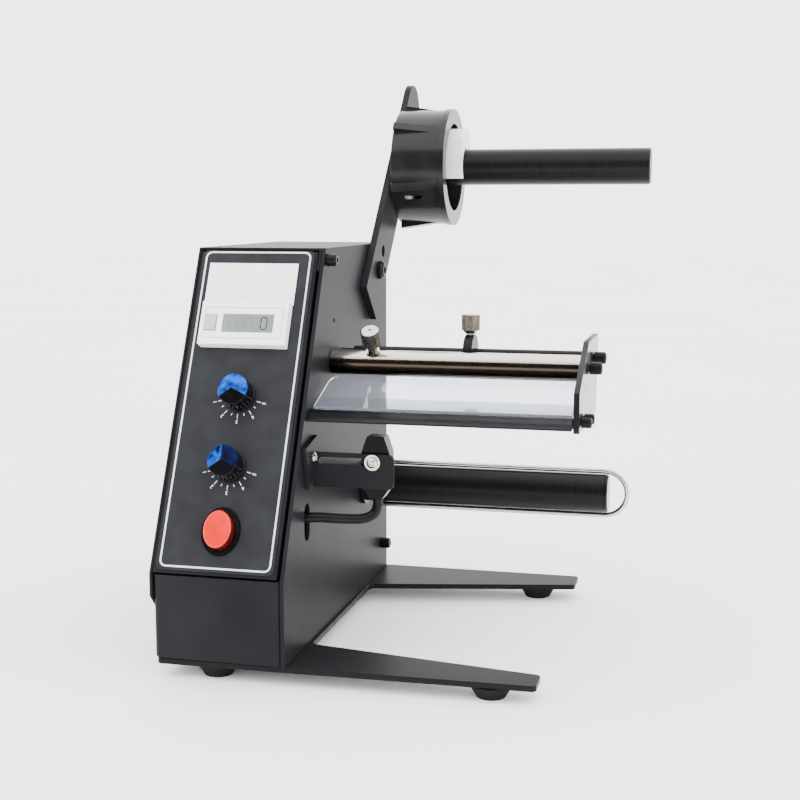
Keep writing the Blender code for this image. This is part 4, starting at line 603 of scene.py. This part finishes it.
# Name of the finished piece, node, finish, rounding of its edges in metres, and the angle in
# degrees from which an edge is sharp
WORKED = (
    ("side_plate_coated", "side_plate", COAT, SHEET_EDGE, 35),
    ("base_plate_coated", "base_plate", COAT, SHEET_EDGE, 35),
    ("chassis_tray_coated", "chassis_tray", COAT, FINE_EDGE, 35),
    ("cover_shell_coated", "cover_shell", COAT, FINE_EDGE, 35),
    ("control_panel_coated", "control_panel", COAT, FINE_EDGE, 35),
    ("supply_arm_coated", "supply_arm", COAT, SHEET_EDGE, 35),
    ("sensor_bracket_coated", "sensor_bracket", COAT, FINE_EDGE, 35),
    ("supply_rod_turned", "supply_rod", ANODISED, FINE_EDGE, 35),
    ("guide_rod_turned", "guide_rod", ANODISED, 0, 35),
    ("guide_collar_turned", "guide_collar", ANODISED, FINE_EDGE, 35),
    ("takeup_spindle_turned", "takeup_spindle", ANODISED, 0, 35),
    ("spindle_end_cap_moulded", "spindle_end_cap", GLOSS_BLACK, 0, 35),
    ("peel_plate_milled", "peel_plate", PEEL_GLOSS, FINE_EDGE, 35),
    ("end_plate_milled", "end_plate", EDGE_ANODISED, SHEET_EDGE, 35),
    ("clear_cover_polished", "clear_cover", CLEAR, FINE_EDGE, 35),
    ("guide_bar_chromed", "guide_bar", CHROME, 0, 35),
    ("core_ring_moulded", "core_ring", RING_BLACK, FINE_EDGE, 40),
    ("roll_stop_moulded", "roll_stop", NYLON, SHEET_EDGE, 35),
    ("sensor_body_moulded", "sensor_body", SENSOR_BLACK, SHEET_EDGE, 35),
    ("sensor_screw_plated", "sensor_screw", NICKEL, FINE_EDGE, 35),
    ("bracket_screw_plated", "bracket_screw", NICKEL, 0, 35),
    ("arm_screw_blackened", "arm_screw", OXIDE, FINE_EDGE, 35),
    ("rod_bolt_blackened", "rod_bolt", OXIDE, FINE_EDGE, 35),
    ("wall_screw_top_blackened", "wall_screw_top", OXIDE, 0, 35),
    ("wall_screw_rear_blackened", "wall_screw_rear", OXIDE, 0, 35),
    ("power_inlet_moulded", "power_inlet", GLOSS_BLACK, 0, 35),
    ("switch_bezel_moulded", "switch_body", GLOSS_BLACK, SHEET_EDGE, 35),
    ("counter_case_moulded", "counter_case", BEZEL_WHITE, SHEET_EDGE, 35),
    ("counter_window_glazed", "counter_screen", LCD_GREEN, 0, 35),
    ("counter_key_moulded", "counter_reset_key", KEY_LIGHT, FINE_EDGE, 35),
    ("info_label_bare", "info_label", LABEL_WHITE, 0, 35),
    ("panel_film_printed", "panel_overlay", FILM, 0, 35),
)


def refinish(name, finish, chosen):
    """Gives a piece's chosen faces a second finish."""
    piece = bpy.data.objects[name]
    piece.data.materials.append(finish)
    for face in piece.data.polygons:
        if chosen(face):
            face.material_index = 1


def carried_over():
    """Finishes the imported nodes: new materials inside, worked copies outside."""
    for node, material in HIDDEN_FINISH.items():
        slots = frame["nodes"][node].data.materials
        slots.clear()
        slots.append(material)
    for name, node, material, width, angle in WORKED:
        worked_copy(node, name, material, width, angle)
    refinish("peel_plate_milled", ANODISED, lambda face: face.normal.z < PEEL_TOP_FACE)
    refinish("end_plate_milled", OXIDE, lambda face: abs(face.normal.x) < SHEET_FACE)
    refinish("base_plate_coated", OXIDE, lambda face: abs(face.normal.z) < SHEET_FACE)
    for number in range(1, 5):
        worked_copy(f"rubber_foot_{number}", f"rubber_foot_{number}_moulded", RUBBER, FINE_EDGE)
        worked_copy(f"end_screw_{number}", f"end_screw_{number}_blackened", OXIDE, FINE_EDGE)


# Marks, knobs, button and counter on the panel


def strip(name, finish, length, width, corner=0.0):
    """A flat strip at the origin, its corners rounded."""
    made = primitive(bpy.ops.mesh.primitive_plane_add, name, finish, size=1)
    made.scale = (length, width, 1)
    bpy.ops.object.transform_apply(location=False, rotation=False, scale=True)
    if corner:
        modify(made, "BEVEL", width=corner, segments=CORNER_SEGMENTS, affect="VERTICES")
    return made


def outline(name, finish, length, width, corner, line):
    """A flat rounded outline of a line's width."""
    made = strip(name, finish, length, width, corner)
    edit(made, "FACE", lambda face: True)
    bpy.ops.mesh.inset(thickness=line)
    bpy.ops.mesh.delete(type="FACE")
    done()
    return made


def joined(pieces, name):
    """Several meshes as one object."""
    nothing_selected()
    for piece in pieces:
        piece.select_set(True)
    bpy.context.view_layer.objects.active = pieces[0]
    bpy.ops.object.join()
    made = bpy.context.active_object
    made.name = name
    return made


def printed_outline():
    """The white line printed round the panel film."""
    width = BORDER_RIGHT - BORDER_LEFT
    height = BORDER_LOW - BORDER_TOP
    made = outline("printed_outline", PRINT, width, height, BORDER_CORNER, BORDER_LINE)
    middle = ((BORDER_LEFT + BORDER_RIGHT) / 2, (BORDER_TOP + BORDER_LOW) / 2)
    settle(made, on_panel(*middle, FILM_FACE + SKIN))
    fit(made, "frame", "panel_film")


def figure(text, angle):
    """A number beyond its stroke, with its top pointing outwards."""
    nothing_selected()
    bpy.ops.object.text_add()
    made = bpy.context.active_object
    made.data.body = text
    made.data.size = FIGURE_SIZE
    made.data.align_x = "CENTER"
    made.data.align_y = "CENTER"
    made.data.offset = FIGURE_WEIGHT
    made.data.resolution_u = FIGURE_ROUNDNESS
    only(made)
    bpy.ops.object.convert(target="MESH")
    made = bpy.context.active_object
    made.data.materials.clear()
    made.data.materials.append(PRINT)
    place = Matrix.Translation((FIGURE_RADIUS * math.cos(angle), FIGURE_RADIUS * math.sin(angle), 0))
    settle(made, place @ Matrix.Rotation(angle - math.pi / 2, 4, "Z"))
    return made


def dial_marks(number, u):
    """Strokes round a dial's lower half, the long ones with plain numbers from 1 to 5."""
    strokes = []
    for step in range(MARK_COUNT):
        angle = MARK_START + step * (MARK_END - MARK_START) / (MARK_COUNT - 1)
        outer = MARK_SHORT if step % 2 else MARK_OUTER
        stroke = strip("stroke", PRINT, outer - MARK_INNER, MARK_WIDTH)
        out = Matrix.Translation(((outer + MARK_INNER) / 2, 0, 0))
        settle(stroke, Matrix.Rotation(angle, 4, "Z") @ out)
        strokes.append(stroke)
        if step % 2 == 0:
            strokes.append(figure(str(step // 2 + 1), angle))
    marks = joined(strokes, f"dial_{number}_marks")
    settle(marks, on_panel(DIAL_X, u, FILM_FACE + SKIN))
    fit(marks, "frame", "panel_film")


def knob(number, u, left_finish, right_finish):
    """A glossy knob on a thin skirt, its top cut into three slanted facets that meet in the middle. The
    facets carry painted shade: the one facing down keeps the body's black, and the right one takes the
    finish given for it, which is a darker blue on the second knob."""
    height = KNOB_APEX - KNOB_LOW
    made = primitive(
        bpy.ops.mesh.primitive_cylinder_add,
        f"knob_{number}_faceted",
        GLOSS_BLACK,
        vertices=KNOB_SIDES,
        radius=KNOB_RADIUS,
        depth=height,
        location=(0, 0, KNOB_LOW + height / 2),
    )
    bpy.ops.object.transform_apply(location=True, rotation=False, scale=False)
    made.data.materials.append(left_finish)
    made.data.materials.append(right_finish)
    apex = (0, 0, KNOB_APEX)
    side = math.sin(FACET_TILT)
    for azimuth in FACETS:
        normal = (side * math.cos(azimuth), side * math.sin(azimuth), math.cos(FACET_TILT))
        edit(made, "FACE", lambda face: True)
        bpy.ops.mesh.bisect(plane_co=apex, plane_no=normal, use_fill=True, clear_outer=True)
        done()
    edit(made, "FACE", lambda face: face.normal.z < -END_FACE)
    bpy.ops.transform.translate(value=(0, 0, KNOB_SKIRT))
    bpy.ops.mesh.extrude_region_move()
    share = KNOB_SKIRT_RADIUS / KNOB_RADIUS
    bpy.ops.transform.resize(value=(share, share, 1))
    bpy.ops.mesh.extrude_region_move(TRANSFORM_OT_translate={"value": (0, 0, -KNOB_SKIRT)})
    done()
    # Painted shade: facets facing down keep the body's black, the right facet takes right_finish and the
    # left facet left_finish
    for face in made.data.polygons:
        if KNOB_FACET[0] < face.normal.z < KNOB_FACET[1]:
            azimuth = math.degrees(math.atan2(face.normal.y, face.normal.x)) % 360
            if azimuth < RIGHT_FACET_END:
                face.material_index = 2
            elif RIGHT_FACET_END < azimuth < LEFT_FACET_END:
                face.material_index = 1
    rounded_edges(made, KNOB_EDGE, segments=3, angle=12)
    smooth(made, angle=11)
    settle(made, on_panel(DIAL_X, u))
    fit(made, f"dial_{number}", "black_plastic", f"knob_{number}")


def power_button():
    """The oval cap: a crowned glossy top with a soft rim and steep sides, which take a darker red as
    painted shade.
    """
    height = CAP_PROUD - FILM_FACE
    made = primitive(
        bpy.ops.mesh.primitive_cylinder_add,
        "power_button_glossy",
        RED_GLOSS,
        vertices=CAP_SIDES,
        radius=1,
        depth=height,
        location=(0, 0, FILM_FACE + height / 2),
    )
    made.data.materials.append(RED_CAP_PAINTED_SHADE)
    made.scale = (CAP_HALF_WIDTH, CAP_HALF_HEIGHT, 1)
    bpy.ops.object.transform_apply(location=True, rotation=False, scale=True)
    edit(made, "FACE", lambda face: face.normal.z > END_FACE)
    bpy.ops.transform.translate(value=(0, 0, -CAP_RIM))
    for step in range(1, CAP_STEPS + 1):
        before = math.radians(90 * (step - 1) / CAP_STEPS)
        after = math.radians(90 * step / CAP_STEPS)
        bpy.ops.mesh.inset(thickness=CAP_RIM * (math.cos(before) - math.cos(after)))
        bpy.ops.transform.translate(value=(0, 0, CAP_RIM * (math.sin(after) - math.sin(before))))
    done()
    # Painted shade: the steep side walls take the darker red
    for face in made.data.polygons:
        if abs(face.normal.z) < CAP_WALL:
            face.material_index = 1
    smooth(made, angle=60)
    settle(made, on_panel(SWITCH_X, SWITCH_U))
    fit(made, "button", "red_cap", "power_button")


def counter_face_line():
    """The thin grey line moulded round the counter's key and window."""
    length = COUNTER_WIDTH - 2 * COUNTER_MARGIN
    width = COUNTER_HEIGHT - 3 * COUNTER_MARGIN
    made = outline("counter_face_line", KEY_LIGHT, length, width, COUNTER_MARGIN / 2, COUNTER_LINE)
    settle(made, on_panel(COUNTER_X, COUNTER_U, COUNTER_PROUD + SKIN))
    fit(made, "frame", "light_plastic")


def digit(place, lit):
    """One seven-bar figure: a nought in dark bars, or all bars faint."""
    bars = []
    half_width = DIGIT_WIDTH / 2
    half_height = DIGIT_HEIGHT / 2
    for x, y, flat in SEGMENT_PLACES:
        if lit and flat and y == 0:
            continue
        length = (DIGIT_WIDTH if flat else half_height) - DIGIT_BAR
        bar = strip("bar", SEGMENT_DARK if lit else SEGMENT_FAINT, length, DIGIT_BAR)
        turn = Matrix.Rotation(0 if flat else math.pi / 2, 4, "Z")
        settle(bar, Matrix.Translation((place + x * half_width, y * half_height, 0)) @ turn)
        bars.append(bar)
    return bars


def counter_figures():
    """The window's figures: a dark nought on the right and faint unlit bars beside it."""
    bars = []
    for step in range(DIGIT_COUNT):
        place = ((DIGIT_COUNT - 1) / 2 - step) * DIGIT_STEP
        bars.extend(digit(place, step == 0))
    figures = joined(bars, "counter_figures")
    settle(figures, on_panel(SCREEN_X, COUNTER_U, SCREEN_FACE + SKIN))
    fit(figures, "frame", "screen")


# Thumbscrews and the black block behind the seam


def step_down(radius, new_radius, length):
    """From the selected end face: a shoulder out or in to a new radius, then a length down."""
    bpy.ops.mesh.extrude_region_move()
    share = new_radius / radius
    bpy.ops.transform.resize(value=(share, share, 1))
    bpy.ops.mesh.extrude_region_move(TRANSFORM_OT_translate={"value": (0, 0, -length)})


def thumbscrew(node, body, seat, neck, flange, head, shank, tip, place):
    """A knurled nickel thumbscrew, from its middle outwards: seat and tip are heights on its axis,
    neck, flange and head are lengths, and shank is a radius."""
    low = seat + flange + neck
    made = primitive(
        bpy.ops.mesh.primitive_cylinder_add,
        node + "_knurled",
        NICKEL_SIDE,
        vertices=2 * THUMB_KNURLS,
        radius=THUMB_RADIUS - THUMB_KNURL,
        depth=head - THUMB_CHAMFER,
        location=(0, 0, low + (head + THUMB_CHAMFER) / 2),
    )
    bpy.ops.object.transform_apply(location=True, rotation=False, scale=False)
    made.data.materials.append(NICKEL)
    walls = [face.index for face in made.data.polygons if abs(face.normal.z) < SIDE_WALL]
    ribs = set(walls[::2])
    edit(made, "FACE", lambda face: face.index in ribs)
    bpy.ops.mesh.inset(thickness=THUMB_KNURL / 2, depth=THUMB_KNURL, use_individual=True)
    done()
    edit(made, "FACE", lambda face: face.normal.z > END_FACE)
    bpy.ops.mesh.inset(thickness=THUMB_EDGE)
    bpy.ops.transform.translate(value=(0, 0, THUMB_EDGE / 3))
    bpy.ops.mesh.inset(thickness=THUMB_RADIUS - THUMB_KNURL - THUMB_EDGE - DIMPLE_RADIUS)
    bpy.ops.mesh.extrude_region_move(TRANSFORM_OT_translate={"value": (0, 0, -DIMPLE_DEPTH)})
    done()
    edit(made, "FACE", lambda face: face.normal.z < -END_FACE)
    bpy.ops.mesh.inset(thickness=THUMB_CHAMFER)
    bpy.ops.transform.translate(value=(0, 0, -THUMB_CHAMFER))
    radius = THUMB_RADIUS - THUMB_KNURL - THUMB_CHAMFER
    step_down(radius, THUMB_NECK_RADIUS, neck)
    radius = THUMB_NECK_RADIUS
    if flange:
        step_down(radius, THUMB_FLANGE_RADIUS, flange)
        radius = THUMB_FLANGE_RADIUS
    step_down(radius, shank, seat - tip)
    done()
    for face in made.data.polygons:
        near_axis = math.hypot(face.center.x, face.center.y) < THUMB_RADIUS / 2
        if near_axis or abs(face.normal.z) > THUMB_SHOULDER:
            face.material_index = 1
    smooth(made, angle=40)
    settle(made, place)
    fit(made, body, "nickel_plate", node)


def thumbscrews():
    """The slanted screw in the chrome bar and the upright one in the collar."""
    turn = Matrix.Rotation(THUMB_TILT, 4, "X")
    thumbscrew(
        "bar_thumbscrew",
        "bar_screw",
        seat=BAR_RADIUS + GAP,
        neck=BAR_THUMB_NECK,
        flange=BAR_THUMB_FLANGE,
        head=BAR_THUMB_HEAD,
        shank=BAR_SHANK_RADIUS,
        tip=-BAR_RADIUS - BAR_SHANK_PAST,
        place=Matrix.Translation(world(*BAR_THUMB)) @ turn,
    )
    thumbscrew(
        "collar_thumbscrew",
        "collar_screw",
        seat=COLLAR_RADIUS + GAP,
        neck=COLLAR_THUMB_NECK,
        flange=0,
        head=COLLAR_THUMB_HEAD,
        shank=COLLAR_SHANK_RADIUS,
        tip=COLLAR_SHANK_TIP,
        place=Matrix.Translation(world(*COLLAR_THUMB)),
    )


def shade_block_behind_seam():
    """A black block behind the seam between panel and tray, standing in for the seam's shade: it keeps
    light from showing through.
    """
    made = primitive(bpy.ops.mesh.primitive_cube_add, "panel_seam_foam", SHADE_BLOCK_BLACK, size=1)
    made.scale = (SEAM_RIGHT - SEAM_LEFT, SEAM_REAR - SEAM_FRONT, SEAM_TOP - SEAM_LOW)
    bpy.ops.object.transform_apply(location=False, rotation=False, scale=True)
    rounded_edges(made, SEAM_ROUND)
    middle = ((SEAM_LEFT + SEAM_RIGHT) / 2, (SEAM_FRONT + SEAM_REAR) / 2, (SEAM_LOW + SEAM_TOP) / 2)
    settle(made, Matrix.Translation(world(*middle)))
    smooth(made, angle=50)
    fit(made, "frame", "black_rubber")


# Wire and lead


def smooth_route(route, parts):
    """Points along a smooth curve through the route's own points."""
    points = [world(*place) for place in route]
    padded = [2 * points[0] - points[1], *points, 2 * points[-1] - points[-2]]
    fine = []
    for a, b, c, d in zip(padded, padded[1:], padded[2:], padded[3:]):
        for part in range(parts):
            t = part / parts
            bend = (c - a) * t + (2 * a - 5 * b + 4 * c - d) * t * t + (3 * b - a - 3 * c + d) * t * t * t
            fine.append(b + bend / 2)
    return [*fine, points[-1]]


def tube(name, finish, places, radius):
    """A round wire or cord along its centreline's points, as a mesh."""
    curve = bpy.data.curves.new(name, "CURVE")
    curve.dimensions = "3D"
    curve.bevel_depth = radius
    curve.bevel_resolution = TUBE_ROUNDNESS
    curve.use_fill_caps = True
    spline = curve.splines.new("POLY")
    spline.points.add(len(places) - 1)
    for point, place in zip(spline.points, places):
        point.co = (*place, 1)
    made = bpy.data.objects.new(name, curve)
    bpy.context.scene.collection.objects.link(made)
    only(made)
    bpy.ops.object.convert(target="MESH")
    made = bpy.context.active_object
    made.data.materials.clear()
    made.data.materials.append(finish)
    smooth(made, angle=50)
    return made


def wire_clip():
    """The bright wire hairpin whose legs hold the backing's end on the tube."""
    middle = WIRE_REACH - WIRE_LIFT
    places = [world(WIRE_START, SPINDLE_Y, SPINDLE_HEIGHT + WIRE_LIFT)]
    for step in range(WIRE_STEPS + 1):
        turn = math.pi * step / WIRE_STEPS
        along = middle + WIRE_LIFT * math.sin(turn)
        places.append(world(along, SPINDLE_Y, SPINDLE_HEIGHT + WIRE_LIFT * math.cos(turn)))
    places.append(world(WIRE_START, SPINDLE_Y, SPINDLE_HEIGHT - WIRE_LIFT))
    fit(tube("wire_clip_bent", NICKEL, places, WIRE_RADIUS), "clip", "nickel_plate", "wire_clip")


def sensor_lead():
    """The black round lead from the sensor through the side plate's slot to the board."""
    made = tube("sensor_lead_jacket", LEAD_BLACK, smooth_route(LEAD_ROUTE, LEAD_PARTS), LEAD_RADIUS)
    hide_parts("sensor_lead")
    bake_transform(made)


# Camera, floor and light


def camera():
    """The photograph's viewpoint."""
    lens = bpy.data.cameras.new("camera")
    lens.lens = CAMERA_LENS
    lens.clip_end = CAMERA_REACH
    made = bpy.data.objects.new("camera", lens)
    made.location = CAMERA_PLACE
    made.rotation_euler = [math.radians(angle) for angle in CAMERA_TURN]
    bpy.context.scene.collection.objects.link(made)
    bpy.context.scene.camera = made


def studio():
    """A pale floor under an even white sky. A black flag behind the viewpoint, which only
    reflections see, keeps the black faces dark."""
    made, tree, shader, place = finish_of("pale_studio_floor", Roughness=0.6, IOR=1.3)
    paint = speckle(tree, place, 400.0, 1.0)
    tree.links.new(blend_colours(tree, paint, "#fafafa", "#ffffff"), shader.inputs["Base Color"])
    low = (0, 0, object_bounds()[0][2])
    plane = bpy.ops.mesh.primitive_plane_add
    floor = primitive(plane, "studio_floor", made, size=FLOOR_SIZE, location=low)
    only(floor)
    bpy.ops.object.transform_apply(location=True, rotation=False, scale=False)
    cloth, tree, shader, place = finish_of("black_flag_cloth", Roughness=1.0, IOR=1.1)
    folds = speckle(tree, place, 300.0, 1.0)
    tree.links.new(blend_colours(tree, folds, "#1c1b19", "#262420"), shader.inputs["Base Color"])
    flag = primitive(plane, "black_flag", cloth, size=FLAG_SIZE)
    flag.scale.x = FLAG_WIDTH_SHARE
    settle(flag, Matrix.Translation(FLAG_PLACE) @ Matrix.Rotation(math.radians(90), 4, "X"))
    flag.visible_camera = False
    flag.visible_diffuse = False
    flag.visible_shadow = False
    sky = bpy.data.worlds.new("white_studio")
    bpy.context.scene.world = sky
    sky.use_nodes = True
    background = sky.node_tree.nodes["Background"]
    background.inputs["Color"].default_value = (1, 1, 1, 1)
    background.inputs["Strength"].default_value = SKY_STRENGTH


# Making the scene

camera()
studio()
carried_over()
printed_outline()
for number, u in enumerate(DIAL_PLACES, 1):
    dial_marks(number, u)
knob(1, DIAL_PLACES[0], BLUE_CAP_PAINTED_REFLECTION, BLUE_CAP_PAINTED_REFLECTION)
# The second knob's right facet takes the darker blue as painted shade
knob(2, DIAL_PLACES[1], BLUE_CAP_PAINTED_REFLECTION, BLUE_CAP_PAINTED_SHADE)
power_button()
counter_face_line()
counter_figures()
thumbscrews()
shade_block_behind_seam()
wire_clip()
sensor_lead()
